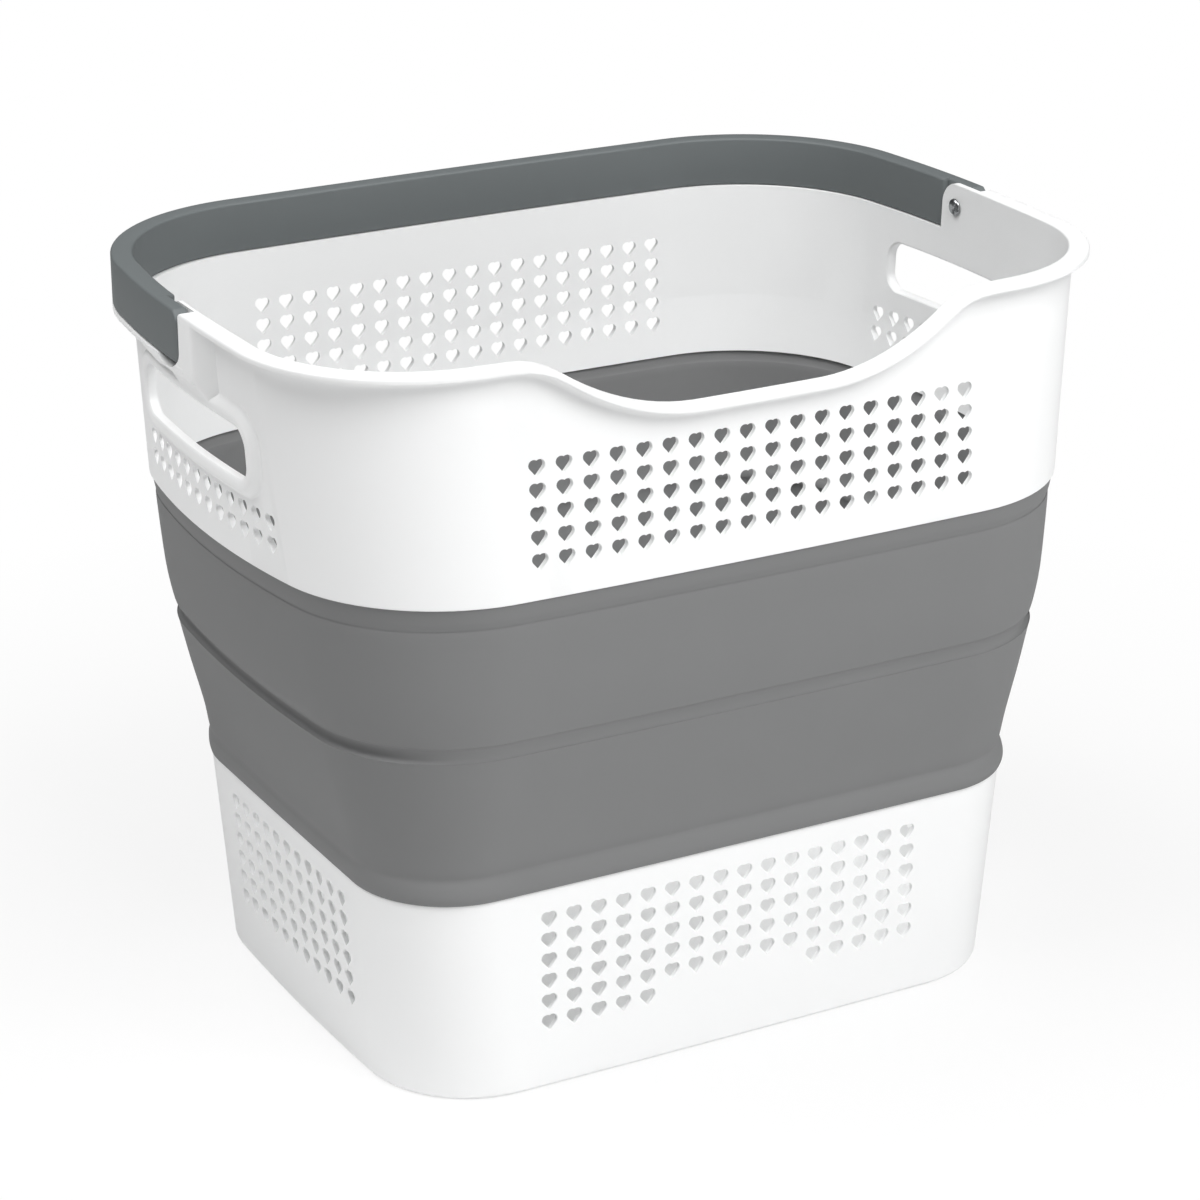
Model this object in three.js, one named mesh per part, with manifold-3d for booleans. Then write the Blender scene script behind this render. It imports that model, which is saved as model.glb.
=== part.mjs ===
// Pop up laundry hamper: a white base tub, a white upper frame and a grey
// band that folds between them, with a swinging carry handle on the rim.
// Millimetres, +Z up. The origin is on the floor under the middle of the base,
// +X runs along the long side and the front, with the dipped rim, faces -Y.

import * as THREE from 'three';
import { mergeGeometries, mergeVertices } from 'three/addons/utils/BufferGeometryUtils.js';
import Module from 'manifold-3d';

const wasm = await Module();
wasm.setup();

// Heights
const rimHeight = 380;
const frameHeight = 113.5;
const tubHeight = 107.9;

// Outline of the mouth, at the rim. Its front half is shallower than its rear.
const mouthHalfLength = 220.9;
const mouthFrontDepth = 149.2;
const mouthFrontCorner = 79.6;
const mouthFrontSideBow = 13.3;
const mouthFrontEndBow = 5.7;
const mouthRearDepth = 163.5;
const mouthRearCorner = 88.5;
const mouthRearSideBow = 3.9;
const mouthRearEndBow = 21.4;

// Outline of the frame's lower edge, where the band starts. Each end of the
// frame leans out by its draft on the way up to the mouth.
const frameDraft = 3.8;
const skirtFrontDepth = 154.5;
const skirtRearDepth = 158.8;
const skirtCorner = 86.7;
const skirtSideBow = 4.8;
const skirtEndBow = 24.7;

// Outline of the tub's upper edge, where the band ends
const tubHalfLength = 182.2;
const tubHalfDepth = 132.6;
const tubCorner = 50.8;
const tubSideBow = 0.6;
const tubEndBow = 0.6;

// Outline of the tub at the floor, before its lower edge is rounded
const footHalfLength = 176.2;
const footHalfDepth = 133;
const footCorner = 56.1;
const footSideBow = 1.4;
const footEndBow = 5.4;

// Walls, seams and running gaps
const plasticWall = 2.4;
const floorThickness = 3;
const footRound = 3;
const bandWall = 2.4;
const hingeWall = 1.2;
const seam = 0.3;
const swingGap = 0.4;
const overrun = 20;
const weldDistance = 1e-4;

// Tongues of the frame and the tub, which the band's collars are moulded over
const tongueDepth = 5.5;
const tongueThickness = 1.4;
const frameOverhang = 1;
const frameCollar = 1.6;
const tubStep = 1;

// Lip round the mouth
const lipWidth = 7.9;
const lipThickness = 3.4;
const lipRound = 1.1;

// Dip in the front of the rim: a flat foot, then a hollow arc and a round
// shoulder on each side
const dipDepth = 31;
const dipFlat = 68;
const dipFootRadius = 117;
const dipShoulderRadius = 37;

// Bands of heart shaped perforations. A drop runs from the top of the frame or
// of the tub to the middle of the highest row.
const heartWidth = 8.3;
const heartHeight = 8;
const heartPitch = 13.7;
const heartRowPitch = 11.13;
const frameHeartColumns = 18;
const frameHeartRows = 5;
const frameHeartDrop = 50.7;
const frameRearHeartDrop = 56;
const tubHeartColumns = 16;
const tubHeartRows = 6;
const tubHeartDrop = 16.5;
const bareColumns = 6;
const bareRows = 1;
const endHeartPitch = 12.85;
const endHeartRowPitch = 11;
const frameEndColumns = 12;
const frameEndRows = 2;
const frameEndHeartDrop = 85.7;
const tubEndColumns = 11;
const tubEndRows = 6;
const tubEndHeartDrop = 16.3;

// Hand slots in the ends of the frame, each with a raised bead round it. They
// and the hearts under them are centred a little behind the middle.
const frameEndMiddle = 1.5;
const tubEndMiddle = 0;
const slotMiddle = 5.2;
const slotLength = 123.5;
const slotHeight = 26.5;
const slotCorner = 9.5;
const slotDrop = 56.6;
const beadWidth = 10;
const beadRise = 3.9;

// Carry handle, its hinge pins and what carries them on the frame
const handleHeight = 25.9;
const handleReach = 8;
const handleRound = 1.2;
const tabReach = 15.3;
const tabRound = 8;
const pinY = 12.3;
const pinDrop = 12.1;
const pinRadius = 2.2;
const pinHeadRadius = 4.5;
const pinHeadHeight = 2.6;
const pinBite = 4.2;
const pinPlay = 0.3;
const ledgeReach = 8.1;
const ledgeThickness = 5;
const ledgeRound = 3;
const hingeBlockLength = 14;
const hingeBlockRamp = 13;
const hingeBlockHeight = 34;

// Shape of the band: places of its living hinges and how far its face stands
// out from or in from the straight line between the tub and the frame. The
// crease lies at a share of the way from the tub up to the frame.
const lowerHingeRise = 13;
const upperHingeDrop = 11.3;
const creaseShare = 0.52;
const creaseRound = 3.4;
const hingeRound = 4.2;
const collarRound = 2.4;
const panelBulge = 2.5;
const collarBulge = 2;
const creaseInset = 0.8;
const lowerHingeInset = 3.3;
const upperHingeInset = 1.8;

// How finely the round stretches are divided
const cornerSteps = 6;
const endSteps = 4;
const plainSideSteps = 3;
const roundSteps = 5;
const slotSteps = 5;
const footSteps = 3;

const mix = (from, to, share) => from + (to - from) * share;

// Places that follow from the sizes above. An ear is rounded about its pin.
const skirtHeight = rimHeight - frameHeight;
const skirtHalfLength = mouthHalfLength - frameDraft;
const creaseHeight = mix(tubHeight, skirtHeight, creaseShare);
const slotCentreHeight = rimHeight - slotDrop;
const pinZ = rimHeight - pinDrop;
const hingePlane = mouthHalfLength;
const handleBottom = rimHeight - handleHeight;
const ledgeTop = handleBottom - seam;
const earRear = pinY + pinDrop;
const notchFront = pinY - tabReach - swingGap;
const blockFoot = rimHeight - hingeBlockHeight;
const tabDrop = handleHeight - pinDrop;
const sweptRadius = Math.hypot(tabReach - tabRound, tabDrop - tabRound) + tabRound + swingGap;

// Shares of the heart's width and height, anticlockwise from the notch. Four
// corners carry the heart's size and the way it points, without its round lobes.
const heartShares = [[0, 0.22], [-0.5, 0.42], [0, -0.5], [0.5, 0.42]];

// Shares of the bead's width and rise, from its outer edge in to the slot
const beadShares = [[1, 0.15], [0.75, 0.75], [0.5, 1], [0.2, 0.85], [-0.1, 0.5]];

// Half of an outline, in front of or behind the middle of its ends
function half(halfLength, halfDepth, corner, sideBow, endBow) {
  return { halfLength, halfDepth, corner, sideBow, endBow };
}

const foot = half(footHalfLength, footHalfDepth, footCorner, footSideBow, footEndBow);
const tub = half(tubHalfLength, tubHalfDepth, tubCorner, tubSideBow, tubEndBow);
const skirtFront = half(skirtHalfLength, skirtFrontDepth, skirtCorner, skirtSideBow, skirtEndBow);
const skirtRear = half(skirtHalfLength, skirtRearDepth, skirtCorner, skirtSideBow, skirtEndBow);
const mouthFront = half(
  mouthHalfLength, mouthFrontDepth, mouthFrontCorner, mouthFrontSideBow, mouthFrontEndBow,
);
const mouthRear = half(mouthHalfLength, mouthRearDepth, mouthRearCorner, mouthRearSideBow, mouthRearEndBow);

// Levels of the hamper, from the floor up. Everything follows their outlines.
const levels = [
  { height: 0, front: foot, rear: foot },
  { height: tubHeight, front: tub, rear: tub },
  { height: skirtHeight, front: skirtFront, rear: skirtRear },
  { height: rimHeight, front: mouthFront, rear: mouthRear },
];

// A half outline between two others, moved outward by an offset
function halfBetween(a, b, share, offset) {
  return half(
    mix(a.halfLength, b.halfLength, share) + offset,
    mix(a.halfDepth, b.halfDepth, share) + offset,
    mix(a.corner, b.corner, share) + offset,
    mix(a.sideBow, b.sideBow, share),
    mix(a.endBow, b.endBow, share),
  );
}

// The outline of the outer wall face at one height, moved outward by an offset
function sectionAt(height, offset = 0) {
  let low = 0;
  while (low < levels.length - 2 && height > levels[low + 1].height) {
    low += 1;
  }
  const a = levels[low];
  const b = levels[low + 1];
  const share = (height - a.height) / (b.height - a.height);
  return {
    front: halfBetween(a.front, b.front, share, offset),
    rear: halfBetween(a.rear, b.rear, share, offset),
  };
}

// The frame's inner face by the pins, low enough for a pin's head to clear it
const earFace = sectionAt(pinZ - pinHeadRadius).rear.halfLength - plasticWall - seam;

// One quarter of an outline: the arc of the end, of the corner and of the side
function quarterArcs(section) {
  const sideRadius = section.halfLength ** 2 / (2 * section.sideBow);
  const endRadius = section.halfDepth ** 2 / (2 * section.endBow);
  const sideCentre = new THREE.Vector2(0, section.halfDepth - sideRadius);
  const endCentre = new THREE.Vector2(section.halfLength - endRadius, 0);
  const fromSide = sideRadius - section.corner;
  const fromEnd = endRadius - section.corner;
  const between = endCentre.clone().sub(sideCentre);
  const gap = between.length();
  const along = (gap ** 2 + fromSide ** 2 - fromEnd ** 2) / (2 * gap);
  const across = Math.sqrt(fromSide ** 2 - along ** 2);
  const direction = between.divideScalar(gap);
  const cornerCentre = new THREE.Vector2(
    sideCentre.x + direction.x * along + direction.y * across,
    sideCentre.y + direction.y * along - direction.x * across,
  );
  const sideTangent = cornerCentre.clone().sub(sideCentre).setLength(sideRadius).add(sideCentre);
  const endTangent = cornerCentre.clone().sub(endCentre).setLength(endRadius).add(endCentre);
  return { sideRadius, endRadius, sideCentre, endCentre, cornerCentre, sideTangent, endTangent };
}

// Points of one quarter, from the middle of the end to the middle of the side.
// stations are the distances along X at which the side is divided.
function quarterPoints(section, stations) {
  const arcs = quarterArcs(section);
  const points = [];
  for (let i = 0; i < endSteps; i += 1) {
    const y = arcs.endTangent.y * i / endSteps;
    points.push(new THREE.Vector2(arcs.endCentre.x + Math.sqrt(arcs.endRadius ** 2 - y ** 2), y));
  }
  const start = arcs.endTangent.clone().sub(arcs.cornerCentre).angle();
  const end = arcs.sideTangent.clone().sub(arcs.cornerCentre).angle();
  for (let i = 0; i <= cornerSteps; i += 1) {
    const angle = mix(start, end, i / cornerSteps);
    points.push(new THREE.Vector2(
      arcs.cornerCentre.x + section.corner * Math.cos(angle),
      arcs.cornerCentre.y + section.corner * Math.sin(angle),
    ));
  }
  for (const station of stations(arcs.sideTangent.x)) {
    points.push(new THREE.Vector2(station, sideY(arcs, station)));
  }
  return points;
}

function sideY(arcs, x) {
  return arcs.sideCentre.y + Math.sqrt(arcs.sideRadius ** 2 - x ** 2);
}

// Outer face of an end wall: its X at a place along Y and a height
function endX(y, height) {
  const section = sectionAt(height);
  const arcs = quarterArcs(y < 0 ? section.front : section.rear);
  return arcs.endCentre.x + Math.sqrt(arcs.endRadius ** 2 - y ** 2);
}

// A whole outline, anticlockwise from the middle of the right end
function outline(section, stations) {
  const rear = quarterPoints(section.rear, stations);
  const front = quarterPoints(section.front, stations);
  const flip = (points, x, y) => points.map((p) => new THREE.Vector2(p.x * x, p.y * y));
  return [
    ...rear,
    ...flip(rear.slice(0, -1), -1, 1).reverse(),
    ...flip(front.slice(1), -1, -1),
    ...flip(front.slice(1, -1), 1, -1).reverse(),
  ];
}

// Sides divided between the columns of hearts, so that each heart has one facet
const halves = levels.flatMap((level) => [level.front, level.rear]);
const shortestTangent = Math.min(...halves.map((one) => quarterArcs(one).sideTangent.x));
const heartStationCount = Math.floor(shortestTangent / heartPitch);

function heartStations() {
  return Array.from({ length: heartStationCount + 1 }, (_, i) => (heartStationCount - i) * heartPitch);
}

function plainStations(tangent) {
  const places = Array.from({ length: plainSideSteps }, (_, i) => i / plainSideSteps);
  return places.reverse().map((share) => tangent * share);
}

// How far the front of the rim dips at a place along X
function dipAt(x) {
  const radii = dipFootRadius + dipShoulderRadius;
  const lean = Math.sqrt(1 - (1 - dipDepth / radii) ** 2);
  const out = Math.max(Math.abs(x) - dipFlat / 2, 0);
  if (out <= dipFootRadius * lean) {
    return dipDepth - dipFootRadius + Math.sqrt(dipFootRadius ** 2 - out ** 2);
  }
  const left = Math.max(radii * lean - out, 0);
  return dipShoulderRadius - Math.sqrt(dipShoulderRadius ** 2 - left ** 2);
}

// One ring of points at an offset from the wall's outer face. A ring that
// follows the dip sinks with it along the front.
function ring(offset, height, follows, stations) {
  const level = outline(sectionAt(height, offset), stations);
  return level.map((point, i) => {
    if (!follows || point.y > 0) {
      return new THREE.Vector3(point.x, point.y, height);
    }
    const sunk = height - dipAt(point.x);
    const lower = outline(sectionAt(sunk, offset), stations)[i];
    return new THREE.Vector3(lower.x, lower.y, sunk);
  });
}

// A solid from a BufferGeometry
function toSolid(geometry) {
  const bare = geometry.clone();
  bare.deleteAttribute('normal');
  bare.deleteAttribute('uv');
  const merged = mergeVertices(bare, weldDistance);
  const mesh = new wasm.Mesh({
    numProp: 3,
    vertProperties: Float32Array.from(merged.attributes.position.array),
    triVerts: Uint32Array.from(merged.index.array),
  });
  return new wasm.Manifold(mesh);
}

function geometryFrom(points, triangles) {
  const geometry = new THREE.BufferGeometry().setFromPoints(points);
  geometry.setIndex(triangles);
  return geometry;
}

// Skins between neighbouring rings, each ring running anticlockwise
function skins(rings, closed) {
  const count = rings[0].length;
  const triangles = [];
  const last = closed ? rings.length : rings.length - 1;
  for (let j = 0; j < last; j += 1) {
    const here = j * count;
    const next = ((j + 1) % rings.length) * count;
    for (let i = 0; i < count; i += 1) {
      const k = (i + 1) % count;
      triangles.push(here + i, here + k, next + k, here + i, next + k, next + i);
    }
  }
  return triangles;
}

// A closed band: rings go up the outer face and down the inner face
function bandSolid(rings) {
  return toSolid(geometryFrom(rings.flat(), skins(rings, true)));
}

// A cup: rings go up the outer face and down the inner face to the floor,
// and the first and last are closed with fans
function cupSolid(rings) {
  const count = rings[0].length;
  const points = rings.flat();
  const triangles = skins(rings, false);
  const first = rings[0];
  const final = rings[rings.length - 1];
  const under = points.push(new THREE.Vector3(0, 0, first[0].z)) - 1;
  const above = points.push(new THREE.Vector3(0, 0, final[0].z)) - 1;
  const start = (rings.length - 1) * count;
  for (let i = 0; i < count; i += 1) {
    const k = (i + 1) % count;
    triangles.push(under, k, i);
    triangles.push(above, start + i, start + k);
  }
  return toSolid(geometryFrom(points, triangles));
}

// A box from its two corners
function box(low, high) {
  const size = high.clone().sub(low);
  const geometry = new THREE.BoxGeometry(size.x, size.y, size.z);
  geometry.translate(...low.clone().addScaledVector(size, 1 / 2).toArray());
  return geometry;
}

const boxSolid = (low, high) => toSolid(box(new THREE.Vector3(...low), new THREE.Vector3(...high)));

// The same solid on the right and on the left end
function bothEnds(solid) {
  return solid.add(solid.mirror([1, 0, 0]));
}

// A round bar along X about the hinge pin
function pinBar(radius, from, to, steps = roundSteps * 4) {
  const geometry = new THREE.CylinderGeometry(radius, radius, to - from, steps);
  geometry.rotateZ(Math.PI / 2);
  geometry.translate((from + to) / 2, pinY, pinZ);
  return toSolid(geometry);
}

// Hearts cut through the front wall, on side -1, or the rear wall, on side 1
function sideHearts(columns, rows, top, side, skip) {
  const prisms = [];
  for (let row = 0; row < rows; row += 1) {
    const z = top - row * heartRowPitch;
    const section = sectionAt(z);
    const y = side < 0 ? -section.front.halfDepth : section.rear.halfDepth;
    for (let column = 0; column < columns; column += 1) {
      if (!skip(row, column)) {
        const x = (column - (columns - 1) / 2) * heartPitch;
        prisms.push(heartPrism().rotateX(Math.PI / 2).translate(x, y, z));
      }
    }
  }
  return toSolid(mergeGeometries(prisms));
}

// Hearts cut through the wall of the right end
function endHearts(columns, rows, top, middle) {
  const prisms = [];
  for (let row = 0; row < rows; row += 1) {
    const z = top - row * endHeartRowPitch;
    const x = sectionAt(z).front.halfLength;
    for (let column = 0; column < columns; column += 1) {
      const y = middle + (column - (columns - 1) / 2) * endHeartPitch;
      prisms.push(heartPrism().rotateX(Math.PI / 2).rotateZ(Math.PI / 2).translate(x, y, z));
    }
  }
  return toSolid(mergeGeometries(prisms));
}

// A heart, upright in the plane of X and Y, as thick as two overruns
function heartPrism() {
  const corners = heartShares.map(([x, y]) => new THREE.Vector2(x * heartWidth, y * heartHeight));
  const shape = new THREE.Shape(corners);
  const geometry = new THREE.ExtrudeGeometry(shape, { depth: 2 * overrun, bevelEnabled: false });
  return geometry.translate(0, 0, -overrun);
}

const noneBare = () => false;

// The lowest row has a bare stretch in its middle
function bareMiddle(row, column) {
  const fromMiddle = Math.abs(column - (tubHeartColumns - 1) / 2);
  return row >= tubHeartRows - bareRows && fromMiddle < bareColumns / 2;
}

// The hand slot's outline in the plane of Y and Z, about its middle. The long
// stretches are divided, because the wall behind them is bowed.
function slotOutline(offset) {
  const halfStraight = slotLength / 2 - slotCorner;
  const halfRise = slotHeight / 2 - slotCorner;
  const corner = slotCorner + offset;
  const points = [];
  for (const quarter of [0, 1, 2, 3]) {
    const along = quarter === 0 || quarter === 3 ? halfStraight : -halfStraight;
    const up = quarter < 2 ? halfRise : -halfRise;
    for (let i = 0; i <= roundSteps; i += 1) {
      const angle = (quarter + i / roundSteps) * Math.PI / 2;
      points.push(new THREE.Vector2(along + corner * Math.cos(angle), up + corner * Math.sin(angle)));
    }
    const end = points[points.length - 1];
    for (let i = 1; quarter % 2 === 0 && i < slotSteps; i += 1) {
      points.push(new THREE.Vector2(end.x * (1 - 2 * i / slotSteps), end.y));
    }
  }
  return points;
}

// A ring round the hand slot on the right end, raised from the wall's outer face
function slotRing(offset, rise) {
  return slotOutline(offset).map((point) => {
    const y = slotMiddle + point.x;
    const height = slotCentreHeight + point.y;
    return new THREE.Vector3(endX(y, height) + rise, y, height);
  });
}

// The raised bead round the slot, rooted half way into the wall
function slotBead() {
  const root = -plasticWall / 2;
  const rings = beadShares.map(([across, up]) => slotRing(beadWidth * across, beadRise * up));
  const [outer] = beadShares[0];
  const [inner] = beadShares[beadShares.length - 1];
  return bandSolid([slotRing(beadWidth * outer, root), ...rings, slotRing(beadWidth * inner, root)]);
}

// What is cut away to open the slot
function slotCut() {
  return ringPrism(slotRing(0, -overrun), slotRing(0, overrun));
}

// A prism between two rings, closed with fans about their own middles
function ringPrism(low, high) {
  const count = low.length;
  const points = [...low, ...high];
  const triangles = skins([low, high], false);
  const middle = (loop) => loop.reduce((sum, p) => sum.add(p), new THREE.Vector3()).divideScalar(count);
  const under = points.push(middle(low)) - 1;
  const above = points.push(middle(high)) - 1;
  for (let i = 0; i < count; i += 1) {
    const k = (i + 1) % count;
    triangles.push(under, k, i, above, count + i, count + k);
  }
  return toSolid(geometryFrom(points, triangles));
}

const wallRing = (offset, height) => ring(offset, height, false, heartStations);
const rimRing = (offset, height) => ring(offset, height, true, heartStations);

// A ring that keeps the mouth's outline at any height, for the upright handle
// and the ledge that it rests on
function mouthRing(offset, height) {
  const level = outline(sectionAt(rimHeight, offset), heartStations);
  return level.map((point) => new THREE.Vector3(point.x, point.y, height));
}

// Frame wall with the tongue under it and the lip above it
function frameShell() {
  const tongueOuter = -frameOverhang - frameCollar - seam;
  const tongueInner = tongueOuter - tongueThickness;
  const tongueFoot = skirtHeight - tongueDepth;
  const underLip = rimHeight - lipThickness;
  return bandSolid([
    wallRing(tongueOuter, tongueFoot),
    wallRing(tongueOuter, skirtHeight),
    wallRing(0, skirtHeight),
    rimRing(0, underLip - lipRound),
    rimRing(lipRound, underLip),
    rimRing(lipWidth - lipRound, underLip),
    rimRing(lipWidth, underLip + lipRound),
    rimRing(lipWidth, rimHeight - lipRound),
    rimRing(lipWidth - lipRound, rimHeight),
    rimRing(-plasticWall + lipRound, rimHeight),
    rimRing(-plasticWall, rimHeight - lipRound),
    wallRing(-plasticWall, skirtHeight + tongueDepth),
    wallRing(tongueInner, skirtHeight + plasticWall),
    wallRing(tongueInner, tongueFoot),
  ]);
}

// Ledge round the rear of the rim, under the handle
function ledge() {
  const under = ledgeTop - ledgeThickness;
  return bandSolid([
    mouthRing(ledgeReach - ledgeRound, under),
    mouthRing(ledgeReach, under + ledgeRound),
    mouthRing(ledgeReach, ledgeTop - lipRound),
    mouthRing(ledgeReach - lipRound, ledgeTop),
    wallRing(-plasticWall / 2, ledgeTop),
    wallRing(-plasticWall / 2, under),
  ]);
}

// Everything above the ledge and behind the ears
function rearCut() {
  const far = mouthHalfLength + overrun;
  const behind = mouthRearDepth + overrun;
  return boxSolid([-far, earRear, ledgeTop], [far, behind, rimHeight + overrun]);
}

// The lip over the ears, in whose place the handle's tabs lie
function lipCut() {
  return boxSolid(
    [hingePlane, notchFront, ledgeTop],
    [hingePlane + overrun, earRear + overrun, rimHeight + overrun],
  );
}

// Flat outer face of an ear, and the blocks before and under the handle's tab.
// The front block runs out into the wall in a ramp.
function hingeBlock() {
  const root = sectionAt(blockFoot).rear.halfLength - plasticWall / 2;
  const face = hingePlane + ledgeReach;
  const rear = pinY + sweptRadius + plasticWall;
  const top = rimHeight - lipRound;
  const rampStart = notchFront - hingeBlockLength;
  const ear = boxSolid([root, rampStart, blockFoot], [hingePlane, earRear, top]);
  const under = boxSolid([root, rampStart, blockFoot], [face, rear, ledgeTop]);
  const plan = new THREE.Shape([
    new THREE.Vector2(root, pinY),
    new THREE.Vector2(root, rampStart - hingeBlockRamp),
    new THREE.Vector2(face, rampStart),
    new THREE.Vector2(face, pinY),
  ]);
  const front = new THREE.ExtrudeGeometry(plan, { depth: top - blockFoot, bevelEnabled: false });
  return ear.add(under).add(toSolid(front.translate(0, 0, blockFoot)));
}

// The corner between two straight edges, less a round of the given radius
function cornerCut(edgeY, edgeZ, towardY, towardZ, radius, from, to) {
  const centreY = edgeY + towardY * radius;
  const centreZ = edgeZ + towardZ * radius;
  const outY = edgeY - towardY * radius;
  const outZ = edgeZ - towardZ * radius;
  const corner = boxSolid(
    [from, Math.min(outY, centreY), Math.min(outZ, centreZ)],
    [to, Math.max(outY, centreY), Math.max(outZ, centreZ)],
  );
  const round = new THREE.CylinderGeometry(radius, radius, 2 * (to - from), roundSteps * 4);
  round.rotateZ(Math.PI / 2);
  round.translate((from + to) / 2, centreY, centreZ);
  return corner.subtract(toSolid(round));
}

function upperFrame() {
  const far = mouthHalfLength + overrun;
  const rearLedge = ledge().subtract(
    boxSolid([-far, -mouthFrontDepth - overrun, 0], [far, notchFront, rimHeight]),
  );
  const frontTop = rimHeight - frameHeartDrop;
  const rearTop = rimHeight - frameRearHeartDrop;
  const endTop = rimHeight - frameEndHeartDrop;
  const frontHearts = sideHearts(frameHeartColumns, frameHeartRows, frontTop, -1, noneBare);
  const rearHearts = sideHearts(frameHeartColumns, frameHeartRows, rearTop, 1, noneBare);
  const heartsInEnd = endHearts(frameEndColumns, frameEndRows, endTop, frameEndMiddle);
  const pocket = pinBar(sweptRadius, hingePlane, hingePlane + handleReach + swingGap);
  const pinHole = pinBar(pinRadius + pinPlay, hingePlane - overrun, hingePlane + overrun / 2);
  const earCorner = cornerCut(
    earRear, rimHeight, -1, -1, pinDrop, hingePlane - overrun, hingePlane + overrun,
  );
  const endCuts = lipCut().add(pocket).add(slotCut()).add(heartsInEnd).add(earCorner);
  const throughEar = pinHole.intersect(boxSolid([0, 0, 0], [hingePlane + seam, earRear, rimHeight]));
  return frameShell()
    .subtract(rearCut())
    .add(rearLedge)
    .add(bothEnds(hingeBlock().add(slotBead())))
    .subtract(bothEnds(endCuts.add(throughEar)))
    .subtract(frontHearts)
    .subtract(rearHearts);
}

// White tub: floor, rounded lower edge, wall and the tongue above it
function baseTub() {
  const tongueHeight = tubHeight + tongueDepth;
  const tongueOuter = -tubStep;
  const rings = [];
  for (let i = 0; i <= footSteps; i += 1) {
    const angle = i / footSteps * Math.PI / 2;
    rings.push(wallRing(footRound * (Math.sin(angle) - 1), footRound * (1 - Math.cos(angle))));
  }
  rings.push(
    wallRing(0, tubHeight),
    wallRing(tongueOuter, tubHeight),
    wallRing(tongueOuter, tongueHeight),
    wallRing(-plasticWall, tongueHeight),
    wallRing(-plasticWall, floorThickness + footRound),
    wallRing(-plasticWall - footRound, floorThickness),
  );
  const top = tubHeight - tubHeartDrop;
  const endTop = tubHeight - tubEndHeartDrop;
  const frontHearts = sideHearts(tubHeartColumns, tubHeartRows, top, -1, bareMiddle);
  const rearHearts = sideHearts(tubHeartColumns, tubHeartRows, top, 1, noneBare);
  const heartsInEnd = endHearts(tubEndColumns, tubEndRows, endTop, tubEndMiddle);
  return cupSolid(rings).subtract(bothEnds(heartsInEnd)).subtract(frontHearts).subtract(rearHearts);
}

// Grey band: collars on both tongues, two panels and three living hinges
function foldingBand() {
  const lowerHinge = tubHeight + lowerHingeRise;
  const upperHinge = skirtHeight - upperHingeDrop;
  const lowerFoot = tubHeight + seam;
  const lowerLap = tubHeight + tongueDepth + seam;
  const collarInner = seam - tubStep;
  const face = [
    [lowerFoot, collarBulge * 3 / 4],
    [lowerFoot + collarRound, collarBulge],
    [lowerFoot + 2 * collarRound, collarBulge * 3 / 4],
    [mix(lowerFoot, lowerHinge, 3 / 4), 0],
    [lowerHinge, -lowerHingeInset],
    [lowerHinge + hingeRound, -lowerHingeInset / 2],
    [mix(lowerHinge, creaseHeight, 1 / 4), -lowerHingeInset / 4],
    [mix(lowerHinge, creaseHeight, 3 / 5), panelBulge / 2],
    [creaseHeight - creaseRound, panelBulge * 4 / 5],
    [creaseHeight, -creaseInset],
    [creaseHeight + creaseRound, panelBulge],
    [mix(creaseHeight, upperHinge, 2 / 5), panelBulge],
    [upperHinge - hingeRound, -upperHingeInset / 3],
    [upperHinge, -upperHingeInset],
    [upperHinge + hingeRound, -frameOverhang],
    [skirtHeight - seam, -frameOverhang],
  ];
  const back = [
    [skirtHeight - seam, -frameOverhang - frameCollar],
    [upperHinge + hingeRound, -frameOverhang - frameCollar],
    [upperHinge, -upperHingeInset - hingeWall],
    [upperHinge - hingeRound, -upperHingeInset / 3 - bandWall],
    [mix(creaseHeight, upperHinge, 2 / 5), panelBulge - bandWall],
    [creaseHeight + creaseRound, panelBulge - bandWall],
    [creaseHeight, -creaseInset - hingeWall],
    [creaseHeight - creaseRound, panelBulge * 4 / 5 - bandWall],
    [mix(lowerHinge, creaseHeight, 3 / 5), panelBulge / 2 - bandWall],
    [mix(lowerHinge, creaseHeight, 1 / 4), -lowerHingeInset / 4 - bandWall],
    [lowerHinge, -lowerHingeInset - hingeWall],
    [lowerLap, -plasticWall],
    [lowerLap, collarInner],
    [lowerFoot, collarInner],
  ];
  const rings = [...face, ...back].map(([height, offset]) => ring(offset, height, false, plainStations));
  return bandSolid(rings);
}

// Grey handle: a bail round the rear half of the rim, with a tab at each end
// that lies outside the frame's ear
function carryHandle() {
  const bail = bandSolid([
    mouthRing(handleReach - handleRound, handleBottom),
    mouthRing(handleReach, handleBottom + handleRound),
    mouthRing(handleReach, rimHeight - handleRound),
    mouthRing(handleReach - handleRound, rimHeight),
    mouthRing(-plasticWall + handleRound, rimHeight),
    mouthRing(-plasticWall, rimHeight - handleRound),
    mouthRing(-plasticWall, handleBottom + handleRound),
    mouthRing(-plasticWall + handleRound, handleBottom),
  ]);
  const farX = mouthHalfLength + overrun;
  const farY = mouthFrontDepth + overrun;
  const low = handleBottom - overrun;
  const high = rimHeight + overrun;
  const tabFront = pinY - tabReach;
  const nearX = hingePlane + swingGap;
  const frontHalf = boxSolid([-farX, -farY, low], [farX, tabFront, high]);
  const aroundEars = boxSolid([-nearX, -farY, low], [nearX, earRear + swingGap, high]);
  const lowerCorner = cornerCut(tabFront, handleBottom, 1, 1, tabRound, hingePlane, farX);
  const upperCorner = cornerCut(tabFront, rimHeight, 1, -1, tabRound, hingePlane, farX);
  const blindHole = pinBar(pinRadius + seam, hingePlane, hingePlane + swingGap + pinBite + seam);
  return bail
    .subtract(frontHalf)
    .subtract(aroundEars)
    .subtract(bothEnds(lowerCorner.add(upperCorner).add(blindHole)));
}

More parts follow.
